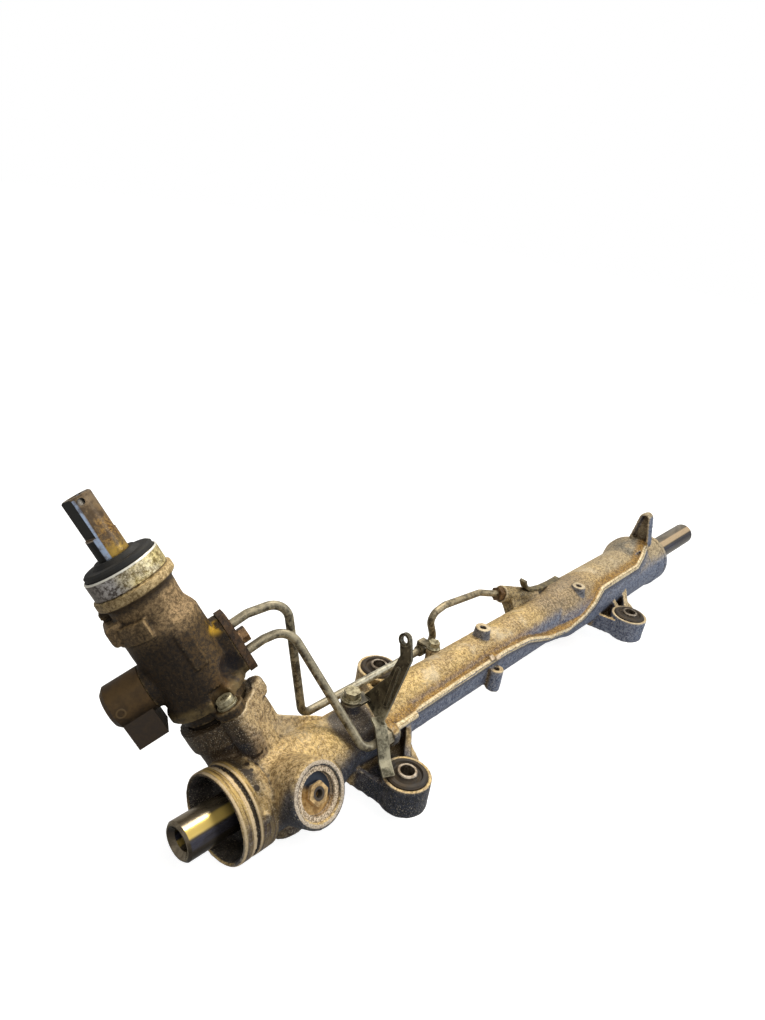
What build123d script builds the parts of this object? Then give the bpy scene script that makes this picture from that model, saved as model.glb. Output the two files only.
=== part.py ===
"""Hydraulic power steering rack, left-hand pinion, tie rods and bellows removed.

Frame: the origin is the centre of the near end face of the rack bar, +X runs along the bar to its far end,
+Z is up along the three mounting bolts, and +Y is the side of the single rear ear. Millimetres.
"""
import os
from math import acos, atan2, cos, pi, radians, sin, sqrt, tan

from build123d import *

os.makedirs("parts", exist_ok=True)

# ---------------------------------------------------------------- driving sizes
# rack bar
BAR_DIAMETER = 25.0
BAR_LENGTH = 760.0
BAR_CHAMFER = 1.5
BAR_THREAD_RADIUS = 7.0          # M14 for the inner tie rod joint
BAR_THREAD_DEPTH = 24.0
BAR_THREAD_CHAMFER = 3.0
RUNNING_GAP = 0.05               # radial, bar and shafts in their bushes
FIT_GAP = 0.02                   # radial, parts pressed or pushed together by hand

# rack and pinion mesh
MODULE = 2.0
PINION_TEETH = 8
PROFILE_SHIFT = 0.53
PRESSURE_ANGLE = 20.0
BACKLASH = 0.16                  # along the pitch line
RACK_ADDENDUM = 1.75
RACK_DEDENDUM = 2.0
CENTRE_DISTANCE = 15.7
TOOTHED_FROM = 38.0
TOOTHED_TO = 209.0
YOKE_TILT = 30.5                 # the yoke points to -Y and this much up
PINION_LEAN = 19.5               # the pinion leans towards -X
PINION_X = 75.4
RACK_BACK = 120.0                # stroke towards -X from the position drawn
RACK_FORWARD = 24.0              # stroke towards +X

# housing
COLLAR_START = 25.0
COLLAR_LENGTH = 27.0
COLLAR_RADIUS = 29.3
COLLAR_BORE_RADIUS = 26.0
COLLAR_BORE_DEPTH = 19.0
COLLAR_GROOVE_AT = 9.0
COLLAR_GROOVE_WIDTH = 2.6
COLLAR_GROOVE_DEPTH = 2.0
NECK_RADIUS = 26.0
NECK_END = 108.0
NECK_TAPER = 20.0
TUBE_RADIUS = 20.0
TUBE_RISE = 6.0                  # the upper half of the tube stands this much higher
TUBE_CROWN_RADIUS = 18.0
BULGE_START = 428.0
BULGE_RADIUS = 26.5
BULGE_TAPER = 34.0
FAR_COLLAR_END = 639.0
FAR_COLLAR_LENGTH = 24.0
FAR_COLLAR_RADIUS = 28.3
FAR_GROOVE_AT = 6.0
BAR_TUNNEL_RADIUS = 13.6
CYLINDER_START = 236.0
CYLINDER_END = 452.0
CYLINDER_RADIUS = 16.6
FAR_BORE_START = 600.0
FAR_BORE_RADIUS = 19.0

# rim along the near side
RIM_THICKNESS = 3.4
RIM_APRON = 0.5                  # radians from the lip down to where its face meets the tube

# mounting ears: bolt axis x, y and where each arm meets the tube
EAR_REAR = (218.6, 44.4)
EAR_NEAR = (145.8, -48.0)
EAR_FAR = (493.2, -48.9)
NEAR_ROOTS = ((137, -10, 12), (177, -10, 8))
FAR_ROOTS = ((482, -10, 12), (535, -12, 8))
REAR_ROOTS = ((196, 10, 9), (244, 10, 8))
NEAR_WEBS = ((184, -17),)
FAR_WEBS = ((505, -18), (540, -18))
REAR_WEBS = ((198, 16), (240, 16))
EAR_BOSS_RADIUS = 17.2
EAR_BOTTOM = -25.0
EAR_TOP = -1.5
BUSH_RADIUS = 14.5
BUSH_TOP = 0.0
SLEEVE_RADIUS = 7.15
SLEEVE_BORE_RADIUS = 5.1         # clears an M10 bolt
SLEEVE_TOP = 1.9
SLEEVE_BOTTOM = -27.0

# yoke bore and its parts, measured along the yoke axis from the bar axis
YOKE_X = 69.6
YOKE_HOUSING_RADIUS = 20.7
YOKE_HOUSING_END = 46.5
YOKE_RADIUS = 15.0
YOKE_LINER_THICKNESS = 0.8
YOKE_LENGTH = 15.0
PLUG_RADIUS = 16.0
PLUG_LENGTH = 8.0
PLUG_END = 45.0
PLUG_RECESS_RADIUS = 12.8
PLUG_RECESS_DEPTH = 4.0
PLUG_HUB_RADIUS = 7.4             # across the corners of its hexagon
PLUG_HOLE_RADIUS = 2.6
SPRING_RADIUS = 7.6
SPRING_WIRE = 2.4
SPRING_TURNS = 4

# pinion, valve and tower, measured along the pinion axis from its closest point to the bar
TOWER_RADIUS = 24.2
TOWER_FLANGE_RADIUS = 26.4
TOWER_FLANGE = 14.0
TOWER_TOP = 60.0
TOWER_BORE_RADIUS = 20.0
TOWER_FLOOR = 50.0
LOWER_END = -37.0
LOWER_BOSS_RADIUS = 17.0
PINION_CHAMBER_RADIUS = 12.4
BEARING_BOTTOM = -31.0
BEARING_TOP = -21.0
BEARING_RADIUS = 13.0
BALL_RADIUS = 2.3
BALL_COUNT = 8
TAIL_RADIUS = 6.0
TAIL_END = -35.0
NUT_RADIUS = 9.0
CAP_RADIUS = 15.4
CAP_THICKNESS = 4.0
FACE_HALF_WIDTH = 14.0
NECK_SHAFT_RADIUS = 7.6
BUSH_FROM = 22.0
BUSH_TO = 34.0
BUSH_WALL = 3.4
SEAL_FROM = 38.0
SEAL_TO = 45.0
HEAD_FROM = 52.0
HEAD_TO = 76.0
HEAD_RADIUS = 13.0
VALVE_BASE = 63.0
SPIGOT_BOTTOM = 52.0
FLANGE_TOP = 69.0
BASE_RADIUS = 22.0
BEAD_RADIUS = 26.4
BEAD_FROM = 70.0
BEAD_TO = 76.0
BODY_RADIUS = 24.3
BODY_SHOULDER = 126.0
BODY_NECK_RADIUS = 20.6
LIP_FROM = 152.0
LIP_TO = 157.0
LIP_RADIUS = 25.2
CROWN_RADIUS = 22.4
CROWN_TOP = 168.0
VALVE_BORE_RADIUS = 16.4
VALVE_BORE_TOP = 131.0
VALVE_SLEEVE_RADIUS = 15.6
SPOOL_RADIUS = 10.0
SHAFT_RADIUS = 9.6                # where it runs in the bearing and the seals
COUPLING_RADIUS = 9.1             # the end that the steering column clamps
SHAFT_TOP = 215.8
SHAFT_FLAT = 6.9                 # from the axis to the flat
PIN_HOLE_RADIUS = 2.2
PIN_TURN = 17.0                  # degrees from the yoke side towards the solenoid
TORSION_RADIUS = 3.0
TORSION_BORE_RADIUS = 4.2
PIN_GRIP = 1.2                   # how far the cross pin reaches into the shaft on each side
TWIST_LIMIT = 4.5                # degrees each way
UPPER_BEARING_FROM = 133.0
UPPER_BEARING_TO = 145.0
UPPER_SEAL_FROM = 148.0
UPPER_SEAL_TO = 156.0
DISC_RADIUS = 21.9
DISC_TOP = 174.7
COUPLING_FROM = DISC_TOP + 0.38 * (SHAFT_TOP - DISC_TOP)     # the flat starts here too
PIN_AT = SHAFT_TOP - 3.6
RING_RADIUS = 23.4
RING_FROM = 158.0
RING_TO = 170.0
SCREW_RING_RADIUS = 29.0
SCREW_ANGLES = (103.0, 271.0)
SCREW_HEAD_RADIUS = 5.3
SCREW_HEAD_HEIGHT = 5.5
SCREW_WASHER_RADIUS = 6.4
SCREW_WASHER = 1.4
SCREW_RADIUS = 4.0
SCREW_RELIEF = 0.9
LUG_RADIUS = 9.0
LUG_FOOT = 20.0
LUG_DEPTH = 14.0

# pipe boss and pipes
PORT_ANGLE = 25.0
PORT_FACE = 29.0
PLATE_THICKNESS = 5.0
PORT_MID = 90.0
PORT_SPACING = 20.5
PIPE_RADIUS = 3.0
PIPE_BORE_RADIUS = 2.1

# solenoid
SOLENOID_ANGLE = 212.0
SOLENOID_AT = 96.0
SOLENOID_RADIUS = 14.6
SOLENOID_END = 52.0

# rack and pinion
SEAL_LENGTH = 9.0
PISTON_AT = 385.0
PISTON_LENGTH = 12.0
PISTON_GAP = 0.1
PISTON_RING_WIDTH = 3.0
PISTON_RING_DEPTH = 2.0
SNAP_WIDTH = 2.0
SNAP_GROOVE = 1.0
SNAP_OPENING = 8.0
FLANK_STEPS = 5
PINION_TIP_RADIUS = 10.4
PINION_ROOT_RADIUS = 6.9
TANG_HALF = 5.0
TANG_RADIUS = 8.6
TANG_FROM = 64.0
TANG_GAP = 0.1
TORSION_END_RADIUS = 3.8
TORSION_BOTTOM = 40.0
TORSION_END_LENGTH = 12.0
TORSION_TOP = SHAFT_TOP - 0.6
SHAFT_FLAT_TURN = 86.0
VALVE_SLEEVE_TOP = 127.0
SLEEVE_RING_AT = (84.0, 95.0, 106.0, 117.0)
SLEEVE_RING_WIDTH = 2.2
SLEEVE_RING_DEPTH = 1.4
SLEEVE_SLOT = 1.5
PISTON_SEAT_DEPTH = 0.8

# cast housing
RIM_ROUTE = ((150, -21.5, 12.5, 20), (188, -21.5, 13.5, 20), (238, -21, 14.5, 20), (304, -20.7, 15, 20),
             (341, -22, 13, 20), (374, -26, 4, 20.5), (405, -28.5, 2, 24), (437, -28, 6, 26.5),
             (459, -26, 12, 26.5), (480, -21.5, 20.5, 26.5), (520, -21.3, 20.5, 26.5), (562, -21.3, 20.5, 26.5),
             (583, -16.5, 25, 26.5), (598, -11.5, 30, 27.5))
FIN_FROM = 596.0
FIN_TO = 607.0
FIN_SHAPE = ((-1.0, 60.0, 6.2), (-8.3, 31.5, 5.0), (5.0, 31.5, 5.0))
FIN_WALL = 2.4
FIN_FLOOR = 35.0
FLARE_FROM = 566.0
FLARE_TO = 598.0
FLARE_RADIUS = 33.8
POST_CENTRES = ((294.0, 1.0, 32.0, 6.5), (443.0, -10.0, 29.0, 6.5))
NEAR_POST = (285.0, -24.4, 9.5, 6.0)
NEAR_POST_FOOT = -10.0
POST_SEAT = 2.0                  # how far each top post reaches into the tube below its hole
POST_HOLE_RADIUS = 2.5
POST_HOLE_DEPTH = 9.0
PORT_BOSS_FACE = (358.0, 26.0, 30.0)         # the centre of its mouth; it points at the outer gallery's end
PORT_BOSS_LENGTH = 50.0
PORT_BOSS_RADIUS = 8.0
PORT_SOCKET_RADIUS = 5.5
PORT_SOCKET_DEPTH = 9.0
INNER_PORT_Y = -24.5
INNER_PORT_Z = 13.0
INNER_PORT_FROM = 149.0
INNER_PORT_TO = 182.0
INNER_PORT_RADIUS = 7.5
INNER_GALLERY = ((184.0, -17.6, 7.9), (252.0, -17.6, 7.9), (252.0, -12.0, 5.4))
OUTER_GALLERY_END = (427.0, 12.0, 10.5)
BRACKET_BOSS = (138.0, 2.8, 31.5)
BRACKET_BOSS_RADIUS = 7.0
BOLT_RADIUS = 3.0
CLIP_BOSS = (247.0, 15.0, 22.0)
CLIP_BOSS_RADIUS = 5.5
EAR_TURN = 28.0
HIGH_EAR_TOP = 62.0
HIGH_EAR_RADIUS = 9.0
HIGH_EAR_REACH = 23.4
HIGH_EAR_HEAD = 50.0
HIGH_EAR_STEP = 4.0
GUSSET_TURN = 55.0               # the web rises from the bar axis to +Y and this much up
GUSSET_THICKNESS = 7.0
GUSSET_SHAPE = ((72, 14), (72, 42), (88, 38.5), (104, 31), (116, 26), (126, 20), (126, 14))   # x, distance from the bar
VALVE_CLEARANCE = 0.7

# valve housing
LEDGE_ANGLE = 205.0
LEDGE_FROM = 130.0
LEDGE_TO = 143.0
LEDGE_REACH = 28.5
LEDGE_HALF_WIDTH = 12.0
SHELF_ANGLES = (131.0, 230.0)
SHELF_RADIUS = 26.0
SHELF_FROM = 127.5
SHELF_TO = 139.5
STRIP_ANGLE = 100.0
STRIP_FROM = 96.0
STRIP_TO = 122.0
STRIP_WIDTH = 9.0
PORT_BOSS_HALF_WIDTH = 12.0
PORT_BOSS_HALF_HEIGHT = 20.0
UPPER_SEAT_RADIUS = 16.0
SOLENOID_STEM_RADIUS = 6.0
CONNECTOR_WIDTH = 22.0
CONNECTOR_DROP = 28.0
CONNECTOR_FROM = 29.5
CONNECTOR_TO = 49.0

# bearings, seals and covers on the pinion axis
RACE_WALL = 2.2
RING_GAP = 0.02
SPIGOT_GROOVE_RADIUS = 18.2
SPIGOT_RING_AT = 56.0

# yoke
YOKE_BACK = 30.0
YOKE_GROOVE_WIDTH = 2.4
YOKE_GROOVE_DEPTH = 1.6
SPRING_POCKET = 7.0

# bar guides and stops
END_BUSH_FROM = 606.0
END_BUSH_TO = 632.0
GLAND_LENGTH = 12.0

# pipes
PIPE_SOCKET = 5.0
PIPE_STUB = 12.0
PIPE_RUN_Y = 26.0
PIPE_RUN_Z = 14.6
PIPE_1_POINTS = ((106, 43, 102), (116, PIPE_RUN_Y, PIPE_RUN_Z), (264, PIPE_RUN_Y, PIPE_RUN_Z),
                 (249, PIPE_RUN_Y, 45.5), (268, PIPE_RUN_Y, 49.5))
PIPE_1_RADII = (8, 13, 8, 8, 8, 10, 14)
PIPE_1_LEAD = 30.0               # the straight run in front of the boss
PIPE_2_TOP = (104.5, 36.5, 84)
PIPE_2_TURN_X = 126.0
PIPE_2_RADII = (8, 14, 10)
NUT_HEX_RADIUS = 6.6
NUT_HEX_LENGTH = 6.0

# bracket and clip
SHEET = 2.0
BRACKET_X = 142.2                # where the arm's plane meets the ground plane of the bar axis
BRACKET_LEAN = 8.5               # degrees, the arm leans towards +X
BRACKET_EYE = (-20.0, 86.5)
BRACKET_EYE_RADIUS = 4.6
BRACKET_EYE_HOLE = 2.7
ARM_SHAPE = (((-20, 86.5, 4.6), (-24.3, 75, 4.6)), ((-24.3, 75, 4.6), (-20.5, 55, 5.4)),
             ((-20.5, 55, 5.4), (-3.5, 33, 3), (-19.5, 34, 3.2)),
             ((-3.5, 33, 3), (-19.5, 34, 3.2), (-18, 25, 3.2)))
LEG_START = (144.5, -16.0)
LEG_TURN = 24.5                  # degrees, the leg swings this much towards -X as it leaves to -Y
LEG_ROUTE = ((0.0, 25.5), (8.0, 24.0), (15.0, 15.8), (21.0, 6.6), (30.0, 1.0))
LEG_WIDTH = 8.5
CLIP_RUN = 8.0

# ---------------------------------------------------------------- axes
X_AXIS = Vector(1, 0, 0)
YOKE_AXIS = Vector(0, -cos(radians(YOKE_TILT)), sin(radians(YOKE_TILT)))
UP_AXIS = Vector(0, sin(radians(YOKE_TILT)), cos(radians(YOKE_TILT)))
PINION_AXIS = UP_AXIS * cos(radians(PINION_LEAN)) - X_AXIS * sin(radians(PINION_LEAN))
SIDE_AXIS = X_AXIS * cos(radians(PINION_LEAN)) + UP_AXIS * sin(radians(PINION_LEAN))
PINION_FOOT = X_AXIS * PINION_X - YOKE_AXIS * CENTRE_DISTANCE
PITCH_RADIUS = MODULE * PINION_TEETH / 2
REFERENCE_LINE = CENTRE_DISTANCE - PITCH_RADIUS - PROFILE_SHIFT * MODULE

BOTTOM = (Align.CENTER, Align.CENTER, Align.MIN)
PINION_PLANE = Plane(origin=PINION_FOOT, x_dir=SIDE_AXIS, z_dir=PINION_AXIS)
YOKE_PLANE = Plane(origin=X_AXIS * YOKE_X, x_dir=X_AXIS, z_dir=YOKE_AXIS)
BAR_PLANE = Plane(origin=(0, 0, 0), x_dir=(0, 1, 0), z_dir=X_AXIS)


# ---------------------------------------------------------------- helpers
def rod(plane, radius, start, end):
    """A cylinder along the plane's normal, from start to end."""
    low, high = min(start, end), max(start, end)
    return plane * Pos(0, 0, low) * Cylinder(radius, high - low, align=BOTTOM)


def ring(plane, outer, inner, start, end):
    return rod(plane, outer, start, end) - rod(plane, inner, start, end)


def turned(plane, *points):
    """A solid of revolution about the plane's normal from (radius, height) points."""
    outline = make_face(Plane.XZ * Polyline(*[(r, h) for r, h in points], close=True))
    return plane * revolve(outline, Axis.Z)


def on_pinion(angle, radius, height):
    """A point round the pinion axis: angle 0 is SIDE_AXIS, 90 is the yoke side."""
    return (PINION_FOOT + SIDE_AXIS * (radius * cos(radians(angle)))
            + YOKE_AXIS * (radius * sin(radians(angle))) + PINION_AXIS * height)


def radial_plane(angle, radius, height):
    """A plane at that point whose normal points away from the pinion axis; its y runs up the axis."""
    outward = SIDE_AXIS * cos(radians(angle)) + YOKE_AXIS * sin(radians(angle))
    return Plane(origin=on_pinion(angle, radius, height), x_dir=outward.cross(PINION_AXIS) * -1, z_dir=outward)


def upright_plane(angle, radius, height):
    """A plane at that point whose normal is the pinion axis; its x points away from the axis."""
    outward = SIDE_AXIS * cos(radians(angle)) + YOKE_AXIS * sin(radians(angle))
    return Plane(origin=on_pinion(angle, radius, height), x_dir=outward, z_dir=PINION_AXIS)


def write(name, shape):
    solids = shape.solids()
    part = solids[0] if len(solids) == 1 else Compound(children=list(solids))
    part.label = name
    export_step(part, f"parts/{name}.step")


# ---------------------------------------------------------------- rack and pinion


def involute(angle):
    return tan(angle) - angle


def half_tooth_angle(radius):
    """Half of the angle that a pinion tooth covers at a radius."""
    pressure = radians(PRESSURE_ANGLE)
    base_radius = PITCH_RADIUS * cos(pressure)
    thickness = MODULE * (pi / 2 + 2 * PROFILE_SHIFT * tan(pressure)) - BACKLASH / 2
    at_pitch = thickness / (2 * PITCH_RADIUS)
    at_radius = involute(acos(base_radius / radius)) if radius > base_radius else 0
    return at_pitch + involute(pressure) - at_radius


def toothed_disc():
    """The outline of the pinion's teeth, one tooth on the local -Y side, which faces the rack."""
    base_radius = PITCH_RADIUS * cos(radians(PRESSURE_ANGLE))
    radii = [base_radius + (PINION_TIP_RADIUS - base_radius) * (k / FLANK_STEPS) ** 1.5
             for k in range(FLANK_STEPS + 1)]

    def point(radius, turn):
        return (radius * sin(turn), -radius * cos(turn))

    outline = Circle(PINION_ROOT_RADIUS)
    for tooth in range(PINION_TEETH):
        centre = tooth * 2 * pi / PINION_TEETH
        rising = [point(r, centre + half_tooth_angle(r)) for r in radii]
        falling = [point(r, centre - half_tooth_angle(r)) for r in reversed(radii)]
        tip = point(PINION_TIP_RADIUS, centre)
        root_radius = PINION_ROOT_RADIUS * 0.9
        foot_out = point(root_radius, centre + half_tooth_angle(base_radius))
        foot_back = point(root_radius, centre - half_tooth_angle(base_radius))
        edges = [Line(foot_out, rising[0]), Spline(*rising), ThreePointArc(rising[-1], tip, falling[0]),
                 Spline(*falling), Line(falling[-1], foot_back), Line(foot_back, foot_out)]
        outline += make_face(edges)
    return outline


def pinion():
    shaft = PINION_PLANE * extrude(Pos(0, 0, -FACE_HALF_WIDTH) * toothed_disc(), 2 * FACE_HALF_WIDTH)
    shaft += rod(PINION_PLANE, TAIL_RADIUS, TAIL_END, -FACE_HALF_WIDTH)
    shaft += rod(PINION_PLANE, TAIL_RADIUS + 1.4, BEARING_TOP, -FACE_HALF_WIDTH)
    shaft += rod(PINION_PLANE, NECK_SHAFT_RADIUS, FACE_HALF_WIDTH, HEAD_FROM)
    shaft += rod(PINION_PLANE, HEAD_RADIUS, HEAD_FROM, HEAD_TO)
    reach = sqrt(TANG_RADIUS**2 - TANG_HALF**2)
    limit = radians(TWIST_LIMIT)
    slot_half = TANG_HALF * cos(limit) + reach * sin(limit) + TANG_GAP
    slot = rod(PINION_PLANE, TANG_RADIUS + 0.3, TANG_FROM - 1, HEAD_TO)
    slot &= PINION_PLANE * Pos(0, 0, TANG_FROM - 1) * Box(
        2 * slot_half, 4 * TANG_RADIUS, HEAD_TO - TANG_FROM + 1, align=BOTTOM)
    shaft -= slot
    shaft -= rod(PINION_PLANE, TORSION_END_RADIUS + FIT_GAP, TORSION_BOTTOM - 1, TANG_FROM)
    return shaft


def torsion_bar():
    bar = rod(PINION_PLANE, TORSION_RADIUS, TORSION_BOTTOM, TORSION_TOP)
    bar += rod(PINION_PLANE, TORSION_END_RADIUS, TORSION_BOTTOM, TORSION_BOTTOM + TORSION_END_LENGTH)
    bar += rod(PINION_PLANE, TORSION_BORE_RADIUS - FIT_GAP, TORSION_TOP - TORSION_END_LENGTH, TORSION_TOP)
    return bar - pin_hole()


def pin_plane():
    return Plane(origin=on_pinion(0, 0, PIN_AT), x_dir=PINION_AXIS, z_dir=turned_direction(PIN_TURN))


def turned_direction(turn):
    """A direction across the pinion axis, turned from the yoke side towards the solenoid side."""
    return YOKE_AXIS * cos(radians(turn)) - SIDE_AXIS * sin(radians(turn))


def pin_hole(clearance=0.0):
    return rod(pin_plane(), PIN_HOLE_RADIUS + clearance, -SHAFT_RADIUS * 1.5, SHAFT_RADIUS * 1.5)


def input_shaft():
    shaft = rod(PINION_PLANE, SHAFT_RADIUS, HEAD_TO, COUPLING_FROM)
    shaft += rod(PINION_PLANE, COUPLING_RADIUS, COUPLING_FROM, SHAFT_TOP)
    shaft += rod(PINION_PLANE, SPOOL_RADIUS, HEAD_TO + 0.4, VALVE_SLEEVE_TOP)
    tang = rod(PINION_PLANE, TANG_RADIUS, TANG_FROM, HEAD_TO + 1)
    tang &= PINION_PLANE * Pos(0, 0, TANG_FROM) * Box(
        2 * TANG_HALF, 4 * TANG_RADIUS, HEAD_TO + 1 - TANG_FROM, align=BOTTOM)
    shaft += tang
    shaft = chamfer(shaft.faces().sort_by(Axis(PINION_FOOT, PINION_AXIS))[-1].edges(), 1.0)
    shaft -= rod(PINION_PLANE, TORSION_BORE_RADIUS, TANG_FROM - 1, SHAFT_TOP + 1)
    facing = turned_direction(SHAFT_FLAT_TURN)
    flat = Plane(origin=on_pinion(0, 0, COUPLING_FROM) + facing * SHAFT_FLAT, x_dir=PINION_AXIS, z_dir=facing)
    shaft -= flat * Box(SHAFT_TOP - COUPLING_FROM + 2, 4 * SHAFT_RADIUS, 2 * SHAFT_RADIUS,
                        align=(Align.MIN, Align.CENTER, Align.MIN))
    return shaft - pin_hole()


def valve_sleeve():
    sleeve = ring(PINION_PLANE, VALVE_SLEEVE_RADIUS, SPOOL_RADIUS + RUNNING_GAP, HEAD_TO, VALVE_SLEEVE_TOP)
    for height in SLEEVE_RING_AT:
        sleeve -= ring(PINION_PLANE, VALVE_SLEEVE_RADIUS + 1, VALVE_SLEEVE_RADIUS - SLEEVE_RING_DEPTH,
                       height, height + SLEEVE_RING_WIDTH)
    for low, high in zip(SLEEVE_RING_AT, SLEEVE_RING_AT[1:]):
        middle = (low + SLEEVE_RING_WIDTH + high) / 2
        for turn in range(0, 360, 90):
            port = radial_plane(turn + 45, 0, middle)
            sleeve -= rod(port, SLEEVE_SLOT, SPOOL_RADIUS - 1, VALVE_SLEEVE_RADIUS + 1)
    return sleeve


def sleeve_rings():
    rings = [ring(PINION_PLANE, VALVE_BORE_RADIUS - RUNNING_GAP,
                  VALVE_SLEEVE_RADIUS - SLEEVE_RING_DEPTH + FIT_GAP, height + 0.1,
                  height + SLEEVE_RING_WIDTH - 0.1) for height in SLEEVE_RING_AT]
    return Compound(children=rings)


def rack_bar():
    bar = rod(BAR_PLANE, BAR_DIAMETER / 2, 0, BAR_LENGTH)
    bar = chamfer(bar.edges().filter_by(GeomType.CIRCLE), BAR_CHAMFER)
    tip = REFERENCE_LINE + RACK_ADDENDUM
    away = YOKE_AXIS * -1
    flat = Plane(origin=X_AXIS * TOOTHED_FROM + away * tip, x_dir=X_AXIS, z_dir=away)
    bar -= flat * Box(TOOTHED_TO - TOOTHED_FROM, 2 * BAR_DIAMETER, BAR_DIAMETER,
                      align=(Align.MIN, Align.CENTER, Align.MIN))
    bar -= rack_gaps()
    for end, direction in ((0, 1), (BAR_LENGTH, -1)):
        depth = BAR_THREAD_DEPTH * direction
        bar -= rod(BAR_PLANE, BAR_THREAD_RADIUS, end, end + depth)
        mouth = Plane(origin=(end, 0, 0), x_dir=(0, 1, 0), z_dir=(direction, 0, 0))
        bar -= mouth * Cone(BAR_THREAD_RADIUS + BAR_THREAD_CHAMFER, BAR_THREAD_RADIUS, BAR_THREAD_CHAMFER,
                            align=BOTTOM)
    seat = ring(BAR_PLANE, BAR_DIAMETER, BAR_DIAMETER / 2 - PISTON_SEAT_DEPTH, PISTON_AT,
                PISTON_AT + PISTON_LENGTH)
    return bar - seat


def rack_gaps():
    """The spaces between the rack teeth, slanted to suit the leaning pinion."""
    slope = tan(radians(PRESSURE_ANGLE))
    half = pi * MODULE / 4 + BACKLASH / 4
    top = RACK_ADDENDUM + 1
    profile = make_face(Polyline(
        (-half - top * slope, top), (half + top * slope, top),
        (half - RACK_DEDENDUM * slope, -RACK_DEDENDUM), (-half + RACK_DEDENDUM * slope, -RACK_DEDENDUM),
        close=True))
    pitch = pi * MODULE / cos(radians(PINION_LEAN))
    first = -int((PINION_X - TOOTHED_FROM) / pitch - 1)
    last = int((TOOTHED_TO - PINION_X) / pitch - 1)
    gaps = []
    for count in range(first, last + 1):
        origin = X_AXIS * (PINION_X + count * pitch) - YOKE_AXIS * REFERENCE_LINE
        plane = Plane(origin=origin, x_dir=SIDE_AXIS, z_dir=PINION_AXIS)
        gaps.append(plane * extrude(profile, BAR_DIAMETER, both=True))
    return gaps


def piston():
    body = ring(BAR_PLANE, CYLINDER_RADIUS - PISTON_GAP, BAR_DIAMETER / 2 - PISTON_SEAT_DEPTH + FIT_GAP,
                PISTON_AT + FIT_GAP, PISTON_AT + PISTON_LENGTH - FIT_GAP)
    middle = PISTON_AT + PISTON_LENGTH / 2
    return body - ring(BAR_PLANE, BAR_DIAMETER, CYLINDER_RADIUS - PISTON_RING_DEPTH,
                       middle - PISTON_RING_WIDTH / 2, middle + PISTON_RING_WIDTH / 2)


def piston_ring():
    middle = PISTON_AT + PISTON_LENGTH / 2
    half = PISTON_RING_WIDTH / 2 - FIT_GAP
    return ring(BAR_PLANE, CYLINDER_RADIUS - RUNNING_GAP, CYLINDER_RADIUS - PISTON_RING_DEPTH + FIT_GAP,
                middle - half, middle + half)


def bar_seal(start, end, outer):
    """A lip seal round the bar, hollow on its back."""
    seal = ring(BAR_PLANE, outer - FIT_GAP, BAR_DIAMETER / 2 + RUNNING_GAP, start, end)
    return seal - ring(BAR_PLANE, outer - 1.2, BAR_DIAMETER / 2 + 1.2, start - 1, start + (end - start) * 0.5)


# ---------------------------------------------------------------- cast housing


def level(x, y, z):
    return Plane(origin=(x, y, z))


def drilling(start, end):
    """An oil way between two points."""
    way = Vector(*end) - Vector(*start)
    return Plane(origin=start, z_dir=way) * Cylinder(PIPE_BORE_RADIUS, way.length + 0.5, align=BOTTOM)


def arm(boss, roots, low, high):
    """A flat arm from an ear's boss to round feet on the tube, given as (x, y, radius)."""
    circles = [Pos(boss[0], boss[1]) * Circle(EAR_BOSS_RADIUS - 1.5)]
    circles += [Pos(x, y) * Circle(radius) for x, y, radius in roots]
    hull = make_hull(sum([list(c.edges()) for c in circles], []))
    return Pos(0, 0, low) * extrude(hull, high - low)


def ear(centre, roots, low=-22.0, high=-6.0):
    boss = rod(level(*centre, 0), EAR_BOSS_RADIUS, EAR_BOTTOM, EAR_TOP)
    boss = chamfer(boss.edges().group_by(Axis.Z)[0], 2.0)
    body = boss + arm(centre, roots, low, high)
    pocket_roots = [(x, y, max(radius - 4, 1.5)) for x, y, radius in roots]
    circles = [Pos(centre[0], centre[1]) * Circle(EAR_BOSS_RADIUS - 6)]
    circles += [Pos(x, y) * Circle(radius) for x, y, radius in pocket_roots]
    pocket = extrude(make_hull(sum([list(c.edges()) for c in circles], [])), high - low)
    middle = Pos(0, 0, (low + high) / 2) * pocket
    body = body - (middle - rod(level(*centre, 0), EAR_BOSS_RADIUS, EAR_BOTTOM, 40))
    return body


def ear_web(centre, root, thickness=4.5, low=-20.0, high=4.0):
    """An upright rib from the tube down to the boss."""
    start, end = Vector(root[0], root[1], 0), Vector(centre[0], centre[1], 0)
    along = (end - start).normalized()
    reach = (end - start).length - EAR_BOSS_RADIUS + 3
    side = Plane(origin=start, x_dir=along, z_dir=along.cross(Vector(0, 0, 1)))
    outline = make_face(Polyline((0, low), (reach, low), (reach, EAR_TOP - 2), (reach * 0.55, high * 0.3),
                                 (0, high + 6), close=True))
    return side * extrude(outline, thickness / 2, both=True)


def rim():
    """The lip along the near side, which climbs over the far bulge to the fin; its outer face runs down the tube."""
    sections = []
    for x, y, z, radius in RIM_ROUTE:
        angle = atan2(z, y)
        drop = angle + RIM_APRON
        foot = radius - 0.4
        face = Plane(origin=(x, 0, 0), x_dir=(0, 1, 0), z_dir=X_AXIS) * make_face(Polyline(
            (y, z), (y - RIM_THICKNESS * cos(angle + 1.2), z - RIM_THICKNESS * sin(angle + 1.2)),
            ((radius - 4) * cos(angle - 0.15), (radius - 4) * sin(angle - 0.15)),
            ((radius - 5) * cos(drop), (radius - 5) * sin(drop)), (foot * cos(drop), foot * sin(drop)), close=True))
        sections.append(face)
    return loft(sections, ruled=True)


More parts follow.
